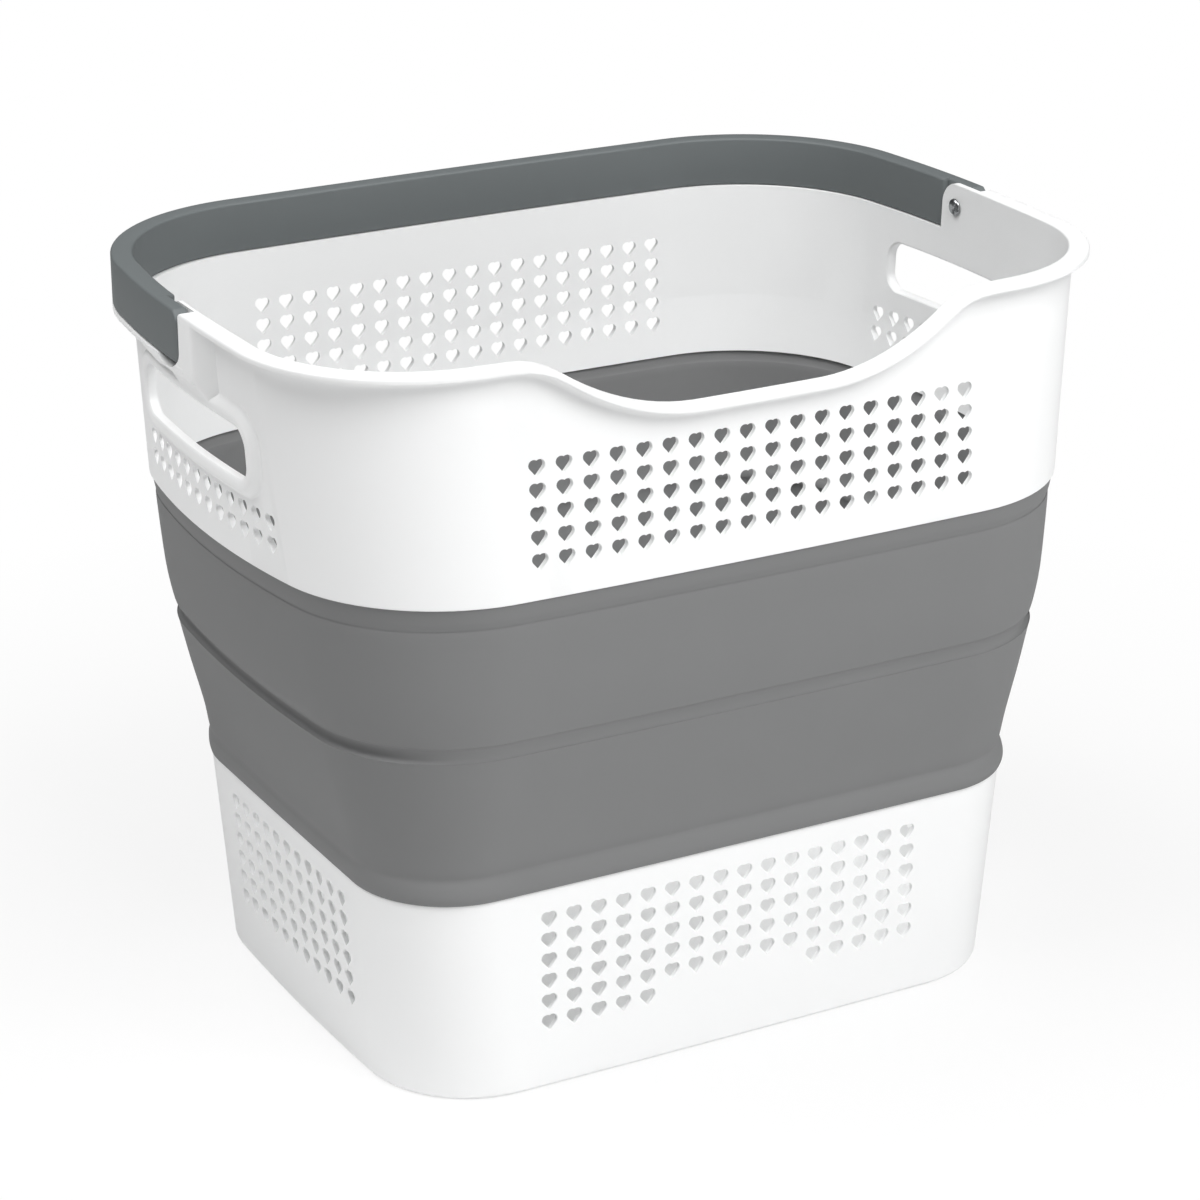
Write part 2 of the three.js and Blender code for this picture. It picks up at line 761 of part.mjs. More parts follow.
// Metal pin with a domed head, put in from the inside of an ear into its tab
function hingePin(side) {
  const tip = hingePlane + swingGap + pinBite;
  const shank = tip - earFace;
  const profile = [
    new THREE.Vector2(0, 0),
    new THREE.Vector2(pinRadius - pinPlay, 0),
    new THREE.Vector2(pinRadius, pinPlay),
    new THREE.Vector2(pinRadius, shank),
    new THREE.Vector2(pinHeadRadius, shank),
  ];
  for (let i = 1; i <= roundSteps; i += 1) {
    const angle = i / roundSteps * Math.PI / 2;
    const rise = shank + pinPlay + (pinHeadHeight - pinPlay) * Math.sin(angle);
    profile.push(new THREE.Vector2(i < roundSteps ? pinHeadRadius * Math.cos(angle) : 0, rise));
  }
  const geometry = new THREE.LatheGeometry(profile, roundSteps * 4);
  geometry.rotateZ(side * Math.PI / 2);
  geometry.translate(side * tip, pinY, pinZ);
  return toSolid(geometry);
}

// A named mesh from a finished solid
function piece(name, solid, material) {
  const mesh = solid.getMesh();
  const geometry = new THREE.BufferGeometry();
  const places = Float32Array.from({ length: mesh.numVert * 3 }, (_, i) => (
    mesh.vertProperties[Math.floor(i / 3) * mesh.numProp + i % 3]
  ));
  geometry.setAttribute('position', new THREE.BufferAttribute(places, 3));
  geometry.setIndex(Array.from(mesh.triVerts));
  geometry.computeVertexNormals();
  const part = new THREE.Mesh(geometry, material);
  part.name = name;
  return part;
}

const whitePlastic = new THREE.MeshStandardMaterial({ color: 0xf3f4f4, roughness: 0.42, metalness: 0 });
const greyElastomer = new THREE.MeshStandardMaterial({ color: 0x7b7e7f, roughness: 0.7, metalness: 0 });
const greyPlastic = new THREE.MeshStandardMaterial({ color: 0x666d6f, roughness: 0.5, metalness: 0 });
const steel = new THREE.MeshStandardMaterial({ color: 0xa9adae, roughness: 0.3, metalness: 1 });

const hamper = new THREE.Group();
hamper.add(piece('base_tub', baseTub(), whitePlastic));
hamper.add(piece('collapsible_band', foldingBand(), greyElastomer));
hamper.add(piece('upper_frame', upperFrame(), whitePlastic));
hamper.add(piece('carry_handle', carryHandle(), greyPlastic));
hamper.add(piece('left_hinge_pin', hingePin(-1), steel));
hamper.add(piece('right_hinge_pin', hingePin(1), steel));

export default hamper;
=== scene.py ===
"""Looks of the pop up laundry hamper: white tub and frame with heart shaped
perforations, a folding grey band, a grey carry handle and its metal pins.
Sizes are in millimetres and become metres where a mesh is made."""

import functools
import math

import bpy
import numpy as np
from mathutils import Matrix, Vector


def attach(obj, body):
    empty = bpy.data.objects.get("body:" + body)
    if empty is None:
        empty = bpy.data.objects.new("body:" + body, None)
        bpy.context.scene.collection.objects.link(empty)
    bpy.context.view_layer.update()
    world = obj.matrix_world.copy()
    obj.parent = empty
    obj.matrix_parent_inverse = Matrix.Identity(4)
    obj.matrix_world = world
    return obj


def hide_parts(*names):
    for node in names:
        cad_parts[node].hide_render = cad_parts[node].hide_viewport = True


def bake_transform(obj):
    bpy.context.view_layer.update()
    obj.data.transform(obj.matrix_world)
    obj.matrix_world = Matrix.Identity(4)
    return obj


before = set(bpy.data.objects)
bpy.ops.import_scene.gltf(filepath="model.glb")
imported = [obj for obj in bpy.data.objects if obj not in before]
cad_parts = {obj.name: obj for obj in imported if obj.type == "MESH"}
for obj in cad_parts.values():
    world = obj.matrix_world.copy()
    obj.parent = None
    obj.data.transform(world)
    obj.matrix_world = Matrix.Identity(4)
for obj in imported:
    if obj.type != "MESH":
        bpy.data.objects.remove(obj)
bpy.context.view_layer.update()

MM = 0.001

# Camera, fitted to the place and turn of the hamper in the picture

CAMERA_PLACE = Vector((-839.8, -1526.1, 881.0)) * MM
CAMERA_AIM = Vector((-2.1, 0.0, 191.8)) * MM
CAMERA_LENS = 109.37
SENSOR_WIDTH = 36.0
CAMERA_SIGHT = 50.0


def make_camera():
    data = bpy.data.cameras.new("camera")
    data.lens = CAMERA_LENS
    data.sensor_width = SENSOR_WIDTH
    data.sensor_fit = "HORIZONTAL"
    data.clip_end = CAMERA_SIGHT
    camera = bpy.data.objects.new("camera", data)
    camera.location = CAMERA_PLACE
    camera.rotation_euler = (CAMERA_AIM - CAMERA_PLACE).to_track_quat("-Z", "Y").to_euler()
    bpy.context.scene.collection.objects.link(camera)
    bpy.context.scene.camera = camera


make_camera()

# Sizes of the hamper

# Half outlines: half length, half depth, corner radius, bow of the side, bow of the end
FOOT = np.array((176.2, 133.0, 56.1, 1.4, 5.4))
TUB = np.array((182.2, 132.6, 50.8, 0.6, 0.6))
SKIRT_FRONT = np.array((217.1, 154.5, 86.7, 4.8, 24.7))
SKIRT_REAR = np.array((217.1, 158.8, 86.7, 4.8, 24.7))
MOUTH_FRONT = np.array((220.9, 149.2, 79.6, 13.3, 5.7))
MOUTH_REAR = np.array((220.9, 163.5, 88.5, 3.9, 21.4))

RIM = 380.0
SKIRT = 266.5
TUB_TOP = 107.9
WALL = 2.4
FLOOR = 3.0
SEAM = 0.3
HINGE_PLANE = MOUTH_FRONT[0]

# Height, front half and rear half of each level
LEVELS = (
    (0.0, FOOT, FOOT), (TUB_TOP, TUB, TUB), (SKIRT, SKIRT_FRONT, SKIRT_REAR), (RIM, MOUTH_FRONT, MOUTH_REAR))

# Steps of a quarter outline along its end, round its corner and along its side
END_STEPS = 10
CORNER_STEPS = 26
SIDE_STEPS = 24
QUARTER = END_STEPS + CORNER_STEPS + SIDE_STEPS
AROUND = 4 * QUARTER

TONGUE_DEPTH = 5.5
TONGUE_THICKNESS = 1.4
FRAME_OVERHANG = 1.0
FRAME_COLLAR = 1.6
TUB_STEP = 1.0

LIP_WIDTH = 7.9
LIP_THICKNESS = 3.4
LIP_FILLET = 4.0
LIP_TOP_ROUND = 1.7
LIP_UNDER_ROUND = 0.5
LIP_INNER_ROUND = 1.1
TONGUE_RUN = 26.0
DIP_DEPTH = 31.0
DIP_FLAT = 68.0
DIP_FOOT_RADIUS = 117.0
DIP_SHOULDER_RADIUS = 37.0

PIN_Y = 12.3
PIN_Z = RIM - 12.1
HANDLE_HEIGHT = 25.9
HANDLE_REACH = 8.0
HANDLE_FOOT = RIM - HANDLE_HEIGHT
TAB_FRONT = PIN_Y - 15.3
TAB_ROUND = 6.5
TAB_RADIUS = PIN_Y - TAB_FRONT
SWING_GAP = 0.4
NOTCH_FRONT = TAB_FRONT - SWING_GAP
EAR_RADIUS = RIM - PIN_Z
EAR_REAR = PIN_Y + EAR_RADIUS
LEDGE_TOP = HANDLE_FOOT - SEAM
LEDGE_REACH = 8.1
LEDGE_EDGE = LEDGE_TOP - 2.6
BLOCK_FOOT = RIM - 34.0
BLOCK_FACE = HINGE_PLANE + LEDGE_REACH - 0.2
BLOCK_FRONT = NOTCH_FRONT - 14.0
BLOCK_RUN_OUT = 11.0
EAR_OUTER = HINGE_PLANE + 12.0
EAR_INNER = HINGE_PLANE - 12.0
TAB_SWEEP = 18.2
TAB_SWEEP_START = TAB_SWEEP * 0.7
NOTCH_ROUND = 2.4

SLOT_MIDDLE = 5.2
SLOT_LENGTH = 123.5
SLOT_HEIGHT = 26.5
SLOT_CORNER = 9.5
SLOT_CENTRE = 323.4
SLOT_EASE = 1.0
BEAD_WIDTH = 10.0
BEAD_RISE = 3.9
BEAD_CREST = 4.5
BEAD_DROP = 2.2
BEAD_OVERLAP = 0.2

PIN_RADIUS = 2.2
PIN_DEPTH = 4.6
BORE_RADIUS = 2.5
HEAD_RADIUS = 4.5
HEAD_EDGE = 4.2
HEAD_RISE = 2.3

HEART_WIDTH = 8.3
HEART_HEIGHT = 8.2
HEART_EASE = 0.25
LOBE_RADIUS = 0.315
LOBE_PLACE = 0.185
TIP_RADIUS = 0.05
HEART_REACH = 400.0

# Pitch along and down a field of hearts, its columns and rows, and the height of its top row
SIDE_PITCHES = (13.7, 11.13)
END_PITCHES = (12.85, 11.0)
FRAME_SIDE_FIELD = (18, 5)
FRAME_END_FIELD = (12, 2)
TUB_SIDE_FIELD = (16, 6)
TUB_END_FIELD = (11, 6)
FRAME_FRONT_TOP = 329.3
FRAME_REAR_TOP = 324.0
FRAME_END_TOP = 294.3
FRAME_END_MIDDLE = 1.5
TUB_SIDE_TOP = 91.4
TUB_END_TOP = 91.6
TUB_BARE = (6, 1)

# Past every wall, for cuts
FAR = 260.0
OVERRUN = 2.0

# Outlines of the walls


@functools.lru_cache(maxsize=None)
def arcs_at(height, offset, rear):
    """The arcs of a quarter outline at a height, moved outward by an offset."""
    low = 0
    while low < len(LEVELS) - 2 and height > LEVELS[low + 1][0]:
        low += 1
    below, above = LEVELS[low], LEVELS[low + 1]
    share = (height - below[0]) / (above[0] - below[0])
    which = 2 if rear else 1
    length, depth, corner, side_bow, end_bow = below[which] + (above[which] - below[which]) * share
    length, depth, corner = length + offset, depth + offset, corner + offset
    side_radius = length ** 2 / (2 * side_bow)
    end_radius = depth ** 2 / (2 * end_bow)
    side_centre = np.array((0.0, depth - side_radius))
    end_centre = np.array((length - end_radius, 0.0))
    from_side, from_end = side_radius - corner, end_radius - corner
    between = end_centre - side_centre
    gap = np.linalg.norm(between)
    along = (gap ** 2 + from_side ** 2 - from_end ** 2) / (2 * gap)
    across = math.sqrt(from_side ** 2 - along ** 2)
    direction = between / gap
    centre = side_centre + direction * along + np.array((direction[1], -direction[0])) * across
    side_tangent = side_centre + (centre - side_centre) * side_radius / from_side
    end_tangent = end_centre + (centre - end_centre) * end_radius / from_end
    return corner, centre, side_radius, side_centre, side_tangent, end_radius, end_centre, end_tangent


def outline_point(index, height, offset):
    """One of the points round the outline, anticlockwise from the middle of the right end."""
    quarter, step = divmod(index % AROUND, QUARTER)
    local = step if quarter % 2 == 0 else QUARTER - step
    corner, centre, side_radius, side_centre, side_tangent, end_radius, end_centre, end_tangent = arcs_at(
        height, offset, quarter < 2)
    if local < END_STEPS:
        y = end_tangent[1] * local / END_STEPS
        x = end_centre[0] + math.sqrt(end_radius ** 2 - y ** 2)
    elif local <= END_STEPS + CORNER_STEPS:
        start = math.atan2(*(end_tangent - centre)[::-1])
        stop = math.atan2(*(side_tangent - centre)[::-1])
        angle = start + (stop - start) * (local - END_STEPS) / CORNER_STEPS
        x, y = centre[0] + corner * math.cos(angle), centre[1] + corner * math.sin(angle)
    else:
        x = side_tangent[0] * (QUARTER - local) / SIDE_STEPS
        y = side_centre[1] + math.sqrt(side_radius ** 2 - x ** 2)
    return (x if quarter in (0, 3) else -x), (y if quarter < 2 else -y)


def end_face(y, height, offset=0.0):
    """X of the right end's outer face at a place along Y and a height."""
    corner, centre, _, _, _, end_radius, end_centre, end_tangent = arcs_at(height, offset, y >= 0)
    if abs(y) <= end_tangent[1]:
        return end_centre[0] + math.sqrt(end_radius ** 2 - y ** 2)
    return centre[0] + math.sqrt(corner ** 2 - (abs(y) - centre[1]) ** 2)


def dip_at(x):
    """How far the front of the rim dips: a flat foot, a hollow arc and a round shoulder."""
    both = DIP_FOOT_RADIUS + DIP_SHOULDER_RADIUS
    bend = math.sqrt(1 - (1 - DIP_DEPTH / both) ** 2)
    out = max(abs(x) - DIP_FLAT / 2, 0.0)
    if out <= DIP_FOOT_RADIUS * bend:
        return DIP_DEPTH - DIP_FOOT_RADIUS + math.sqrt(DIP_FOOT_RADIUS ** 2 - out ** 2)
    left = max(both * bend - out, 0.0)
    return DIP_SHOULDER_RADIUS - math.sqrt(DIP_SHOULDER_RADIUS ** 2 - left ** 2)


def ring(offset, height, follows=False):
    """The points of one outline. One that follows the dip sinks with it along the front."""
    points = []
    for index in range(AROUND):
        x, y = outline_point(index, height, offset)
        z = height
        if follows and y < 0 and dip_at(x) > 0:
            z = height - dip_at(x)
            x, y = outline_point(index, z, offset)
        points.append((x, y, z))
    return points


def wall_distance(points):
    """How far points lie outside the outer wall face, for an array of points."""
    x, y, z = np.abs(points[:, 0]), points[:, 1], points[:, 2]
    heights = [level[0] for level in LEVELS]
    front = [np.interp(z, heights, [level[1][i] for level in LEVELS]) for i in range(5)]
    rear = [np.interp(z, heights, [level[2][i] for level in LEVELS]) for i in range(5)]
    length, depth, corner, side_bow, end_bow = [np.where(y < 0, f, r) for f, r in zip(front, rear)]
    y = np.abs(y)
    side_radius, end_radius = length ** 2 / (2 * side_bow), depth ** 2 / (2 * end_bow)
    side_y, end_x = depth - side_radius, length - end_radius
    from_side, from_end = side_radius - corner, end_radius - corner
    gap = np.hypot(end_x, side_y)
    along = (gap ** 2 + from_side ** 2 - from_end ** 2) / (2 * gap)
    across = np.sqrt(from_side ** 2 - along ** 2)
    dx, dy = end_x / gap, -side_y / gap
    cx, cy = dx * along + dy * across, side_y + dy * along - dx * across
    to_side = np.hypot(x, y - side_y) - side_radius
    to_end = np.hypot(x - end_x, y) - end_radius
    to_corner = np.hypot(x - cx, y - cy) - corner
    angle = np.arctan2(y - cy, x - cx)
    start, stop = np.arctan2(cy, cx - end_x), np.arctan2(cy - side_y, cx)
    return np.where(angle < start, to_end, np.where(angle > stop, to_side, to_corner))


def wall_normals(points, step=0.05):
    """Outward normals of the wall at an array of points."""
    slopes = []
    for axis in range(3):
        shift = np.zeros(3)
        shift[axis] = step
        slopes.append(wall_distance(points + shift) - wall_distance(points - shift))
    normals = np.stack(slopes, axis=1)
    return normals / np.linalg.norm(normals, axis=1)[:, None]


# Making and joining meshes


def arc(centre, radius, start, stop, steps):
    """Offsets and heights round part of a circle, with angles in degrees."""
    return [(centre[0] + radius * math.cos(math.radians(start + (stop - start) * i / steps)),
             centre[1] + radius * math.sin(math.radians(start + (stop - start) * i / steps)))
            for i in range(steps + 1)]


def mesh_piece(name, points, faces):
    """An object of points in millimetres."""
    mesh = bpy.data.meshes.new(name)
    mesh.from_pydata([(x * MM, y * MM, z * MM) for x, y, z in points], [], faces)
    mesh.validate()
    obj = bpy.data.objects.new(name, mesh)
    bpy.context.scene.collection.objects.link(obj)
    return obj


def skin(rings, closed=True):
    """Faces between neighbouring rings that run anticlockwise, seen from above."""
    count = len(rings[0])
    faces = []
    for j in range(len(rings) if closed else len(rings) - 1):
        here, above = j * count, (j + 1) % len(rings) * count
        for i in range(count):
            beside = (i + 1) % count
            faces.append((here + i, here + beside, above + beside, above + i))
    return faces


def band_piece(name, rings):
    """A closed band: rings go up its outer face and down its inner face."""
    return mesh_piece(name, [p for r in rings for p in r], skin(rings))


def capped_piece(name, rings):
    """A closed loft: the first and the last ring are each filled with one face."""
    count = len(rings[0])
    last = (len(rings) - 1) * count
    faces = skin(rings, closed=False)
    faces += [tuple(reversed(range(count))), tuple(range(last, last + count))]
    return mesh_piece(name, [p for r in rings for p in r], faces)


def box_piece(name, low, high):
    corners = [(x, y, z) for z in (low[2], high[2]) for x, y in (
        (low[0], low[1]), (high[0], low[1]), (high[0], high[1]), (low[0], high[1]))]
    return capped_piece(name, [corners[:4], corners[4:]])


def settle(obj):
    """Makes what the modifiers show the object's own mesh."""
    shown = obj.evaluated_get(bpy.context.evaluated_depsgraph_get())
    mesh = bpy.data.meshes.new_from_object(shown)
    old = obj.data
    obj.modifiers.clear()
    obj.data = mesh
    bpy.data.meshes.remove(old)
    mesh.name = obj.name


def discard(obj):
    bpy.data.meshes.remove(obj.data)


def combine(obj, tool, operation):
    """Adds a solid to another one or cuts it away, and uses it up."""
    modifier = obj.modifiers.new("combine", "BOOLEAN")
    modifier.operation = operation
    modifier.solver = "MANIFOLD"
    modifier.object = tool
    settle(obj)
    discard(tool)


def soften(obj, width, segments=3):
    """Rounds the edges of a plain solid."""
    modifier = obj.modifiers.new("soften", "BEVEL")
    modifier.width = width * MM
    modifier.segments = segments
    modifier.limit_method = "ANGLE"
    settle(obj)


def mirrored(obj):
    """The same solid on the left end."""
    mesh = obj.data.copy()
    twin = bpy.data.objects.new(obj.name + "_left", mesh)
    bpy.context.scene.collection.objects.link(twin)
    points = np.empty(len(mesh.vertices) * 3)
    mesh.vertices.foreach_get("co", points)
    points[0::3] *= -1
    mesh.vertices.foreach_set("co", points)
    mesh.flip_normals()
    return twin


def at_both_ends(obj, tool, operation):
    combine(obj, mirrored(tool), operation)
    combine(obj, tool, operation)


OUTER_NEAR = 0.12
INNER_NEAR = 0.2
WALL_ALIKE = 0.985


def shade(obj, sharp_degrees=32.0, on_wall=False):
    """Smooth shading with sharp edges kept. Faces on the wall take the wall's own normals."""
    mesh = obj.data
    mesh.shade_smooth()
    mesh.set_sharp_from_angle(angle=math.radians(sharp_degrees))
    if not on_wall:
        return
    corners = len(mesh.loops)
    normals = np.empty(corners * 3)
    mesh.corner_normals.foreach_get("vector", normals)
    normals = normals.reshape(-1, 3)
    places = np.empty(len(mesh.vertices) * 3)
    mesh.vertices.foreach_get("co", places)
    places = places.reshape(-1, 3) / MM
    distance, outward = wall_distance(places), wall_normals(places)
    vertex_of = np.empty(corners, dtype=np.int64)
    mesh.loops.foreach_get("vertex_index", vertex_of)
    starts = np.empty(len(mesh.polygons), dtype=np.int64)
    totals = np.empty(len(mesh.polygons), dtype=np.int64)
    mesh.polygons.foreach_get("loop_start", starts)
    mesh.polygons.foreach_get("loop_total", totals)
    faces = np.empty(len(mesh.polygons) * 3)
    mesh.polygons.foreach_get("normal", faces)
    faces = np.repeat(faces.reshape(-1, 3), totals, axis=0)
    alike = np.einsum("ij,ij->i", faces, outward[vertex_of])
    on_outer = (np.abs(distance[vertex_of]) < OUTER_NEAR) & (alike > WALL_ALIKE)
    on_inner = (np.abs(distance[vertex_of] + WALL) < INNER_NEAR) & (alike < -WALL_ALIKE)
    for mask, side in ((on_outer, 1.0), (on_inner, -1.0)):
        whole = np.minimum.reduceat(mask.astype(np.int64), starts).astype(bool)
        picked = np.repeat(whole, totals)
        normals[picked] = side * outward[vertex_of][picked]
    mesh.normals_split_custom_set([tuple(n) for n in normals])


# Perforations


def heart_outline(steps=8):
    """A heart of two full lobes and a soft tip, clockwise seen from the front, in shares of its width."""
    tip = HEART_HEIGHT / HEART_WIDTH - LOBE_RADIUS
    tip_centre = (0.0, -tip + TIP_RADIUS)
    away = math.hypot(LOBE_PLACE, tip_centre[1])
    lean = math.atan2(LOBE_PLACE, -tip_centre[1])
    side = math.degrees(lean + math.asin((LOBE_RADIUS - TIP_RADIUS) / away))
    notch = math.degrees(math.acos(-LOBE_PLACE / LOBE_RADIUS))
    right = arc((LOBE_PLACE, 0.0), LOBE_RADIUS, notch, -side, steps)
    left = [(-x, z) for x, z in reversed(right[1:])]
    return right + arc(tip_centre, TIP_RADIUS, -side, side - 180, 2) + left


def heart_cutter():
    """What one heart takes out of a wall whose outer face is at Y 0, with an eased outer edge."""
    middle = (HEART_HEIGHT / HEART_WIDTH - 2 * LOBE_RADIUS) / 2
    rings = []
    for depth, wider in (
            (-OVERRUN, HEART_EASE), (0.0, HEART_EASE), (HEART_EASE, 0.0), (WALL + OVERRUN, 0.0)):
        size = HEART_WIDTH + 2 * wider
        rings.append([(x * size, depth, (z + middle) * size) for x, z in heart_outline()])
    return capped_piece("heart_cutter", rings)


def node(tree, kind, links=(), **settings):
    """A node with its settings, and its inputs as values or as sockets to link from."""
    made = tree.nodes.new(kind)
    for name, value in settings.items():
        setattr(made, name, value)
    for name, value in dict(links).items():
        socket = made.inputs[name]
        if isinstance(value, bpy.types.NodeSocket):
            tree.links.new(value, socket)
        else:
            socket.default_value = value
    return made


def perforation_tree():
    """Geometry Nodes: rows of hearts cut through the wall that they are thrown against."""
    tree = bpy.data.node_groups.new("rows_of_hearts", "GeometryNodeTree")
    face = tree.interface
    face.new_socket("Wall", in_out="INPUT", socket_type="NodeSocketGeometry")
    sockets = (
        ("Heart", "NodeSocketObject"), ("Material", "NodeSocketMaterial"),
        ("Columns", "NodeSocketInt"), ("Rows", "NodeSocketInt"),
        ("Column Pitch", "NodeSocketFloat"), ("Row Pitch", "NodeSocketFloat"),
        ("Middle", "NodeSocketFloat"), ("Top", "NodeSocketFloat"),
        ("Turn", "NodeSocketFloat"), ("Reach", "NodeSocketFloat"),
        ("Bare Columns", "NodeSocketInt"), ("Bare Rows", "NodeSocketInt"),
    )
    for name, kind in sockets:
        face.new_socket(name, in_out="INPUT", socket_type=kind)
    face.new_socket("Wall", in_out="OUTPUT", socket_type="NodeSocketGeometry")
    given = tree.nodes.new("NodeGroupInput").outputs
    result = tree.nodes.new("NodeGroupOutput")

    def maths(operation, a, b=0.0):
        return node(tree, "ShaderNodeMath", {0: a, 1: b}, operation=operation).outputs[0]

    def vector(x, y, z):
        return node(tree, "ShaderNodeCombineXYZ", {0: x, 1: y, 2: z}).outputs[0]

    width = maths("MULTIPLY", maths("SUBTRACT", given["Columns"], 1.0), given["Column Pitch"])
    height = maths("MULTIPLY", maths("SUBTRACT", given["Rows"], 1.0), given["Row Pitch"])
    grid = node(tree, "GeometryNodeMeshGrid", {
        "Size X": width, "Size Y": height, "Vertices X": given["Columns"], "Vertices Y": given["Rows"]})

    position = node(tree, "GeometryNodeInputPosition").outputs[0]
    place = node(tree, "ShaderNodeSeparateXYZ", {0: position}).outputs
    bare_half = maths("MULTIPLY", maths("MULTIPLY", given["Bare Columns"], 0.5), given["Column Pitch"])
    in_columns = maths("LESS_THAN", maths("ABSOLUTE", place[0]), bare_half)
    bare_height = maths("MULTIPLY", maths("SUBTRACT", given["Bare Rows"], 0.5), given["Row Pitch"])
    in_rows = maths("LESS_THAN", maths("ADD", place[1], maths("MULTIPLY", height, 0.5)), bare_height)
    thinned = node(tree, "GeometryNodeDeleteGeometry", {
        "Geometry": grid.outputs["Mesh"], "Selection": maths("MULTIPLY", in_columns, in_rows)},
        domain="POINT")

    centre_height = maths("SUBTRACT", given["Top"], maths("MULTIPLY", height, 0.5))
    upright = node(tree, "GeometryNodeTransform", {
        "Geometry": thinned.outputs[0],
        "Translation": vector(given["Middle"], maths("MULTIPLY", given["Reach"], -1.0), centre_height),
        "Rotation": (math.pi / 2, 0.0, 0.0)})
    turned = node(tree, "GeometryNodeTransform", {
        "Geometry": upright.outputs[0], "Rotation": vector(0.0, 0.0, given["Turn"])})

    inward = node(tree, "ShaderNodeVectorRotate", {"Vector": (0.0, 1.0, 0.0), "Angle": given["Turn"]},
                  rotation_type="Z_AXIS")
    hit = node(tree, "GeometryNodeRaycast", {
        "Target Geometry": given["Wall"], "Ray Direction": inward.outputs[0],
        "Ray Length": 2 * HEART_REACH * MM})
    seated = node(tree, "GeometryNodeSetPosition", {
        "Geometry": turned.outputs[0], "Position": hit.outputs["Hit Position"]})
    heart = node(tree, "GeometryNodeObjectInfo", {"Object": given["Heart"]})
    facing = node(tree, "FunctionNodeEulerToRotation", {0: vector(0.0, 0.0, given["Turn"])})
    hearts = node(tree, "GeometryNodeInstanceOnPoints", {
        "Points": seated.outputs[0], "Instance": heart.outputs["Geometry"], "Rotation": facing.outputs[0]})
    real = node(tree, "GeometryNodeRealizeInstances", {"Geometry": hearts.outputs[0]})
    cut = tree.nodes.new("GeometryNodeMeshBoolean")
    cut.operation = "DIFFERENCE"
    cut.solver = "MANIFOLD"
    tree.links.new(given["Wall"], cut.inputs[0])
    tree.links.new(real.outputs[0], cut.inputs[1])
    finished = node(tree, "GeometryNodeSetMaterial", {
        "Geometry": cut.outputs[0], "Material": given["Material"]})
    tree.links.new(finished.outputs[0], result.inputs[0])
    return tree


def perforate(obj, tree, heart, columns, rows, pitches, top, middle=0.0, turn=0.0, bare=(0, 0)):
    """Cuts one field of hearts through an object's wall. Bare is a block left whole in its bottom rows."""
    values = {
        "Heart": heart, "Material": WHITE_PLASTIC, "Columns": columns, "Rows": rows,
        "Column Pitch": pitches[0] * MM, "Row Pitch": pitches[1] * MM,
        "Middle": middle * MM, "Top": top * MM, "Turn": math.radians(turn), "Reach": HEART_REACH * MM,
        "Bare Columns": bare[0], "Bare Rows": bare[1],
    }
    modifier = obj.modifiers.new("hearts", "NODES")
    modifier.node_group = tree
    for item in tree.interface.items_tree:
        if item.in_out == "INPUT" and item.name in values:
            modifier[item.identifier] = values[item.name]
    settle(obj)


# Finishes


def shader_group(name, inputs, outputs):
    group = bpy.data.node_groups.new(name, "ShaderNodeTree")
    for title, kind, value in inputs:
        socket = group.interface.new_socket(title, in_out="INPUT", socket_type=kind)
        socket.default_value = value
    for title, kind in outputs:
        group.interface.new_socket(title, in_out="OUTPUT", socket_type=kind)
    return group, group.nodes.new("NodeGroupInput").outputs, group.nodes.new("NodeGroupOutput")


GRAIN_SHARE = 0.6
GRAIN_RISE = 0.5
WAVE_RISE = 4.0
ROUGHNESS_SPREAD = 0.08
RELIEF_DEPTH = 0.0002


def moulded_grain():
    """Fine grain and slow waves of a moulded surface, from the object's own coordinates."""
    group, given, result = shader_group(
        "moulded_grain",
        (("Base", "NodeSocketColor", (0.8, 0.8, 0.8, 1.0)), ("Mottle", "NodeSocketFloat", 0.02),
         ("Grain Scale", "NodeSocketFloat", 1800.0), ("Wave Scale", "NodeSocketFloat", 12.0),
         ("Roughness", "NodeSocketFloat", 0.4), ("Roughness Spread", "NodeSocketFloat", 0.05)),
        (("Color", "NodeSocketColor"), ("Roughness", "NodeSocketFloat"), ("Height", "NodeSocketFloat")))
    place = node(group, "ShaderNodeTexCoord").outputs["Object"]
    grain = node(group, "ShaderNodeTexNoise", {"Vector": place, "Scale": given["Grain Scale"], "Detail": 2.0})
    wave = node(group, "ShaderNodeTexNoise", {"Vector": place, "Scale": given["Wave Scale"], "Detail": 3.0})

    def maths(operation, a, b):
        return node(group, "ShaderNodeMath", {0: a, 1: b}, operation=operation).outputs[0]

    fine = maths("MULTIPLY", grain.outputs[0], GRAIN_SHARE)
    slow = maths("MULTIPLY", wave.outputs[0], 1 - GRAIN_SHARE)
    centred = maths("SUBTRACT", maths("ADD", fine, slow), 0.5)
    shade_by = maths("ADD", maths("MULTIPLY", centred, given["Mottle"]), 1.0)
    colour = node(group, "ShaderNodeVectorMath", {0: given["Base"], 1: shade_by}, operation="MULTIPLY")
    rough = maths("ADD", maths("MULTIPLY", centred, given["Roughness Spread"]), given["Roughness"])
    fine_rise = maths("MULTIPLY", grain.outputs[0], GRAIN_RISE)
    slow_rise = maths("MULTIPLY", wave.outputs[0], WAVE_RISE)
    height = maths("ADD", fine_rise, slow_rise)
    group.links.new(colour.outputs[0], result.inputs["Color"])
    group.links.new(rough, result.inputs["Roughness"])
    group.links.new(height, result.inputs["Height"])
    return group


GRAIN = moulded_grain()


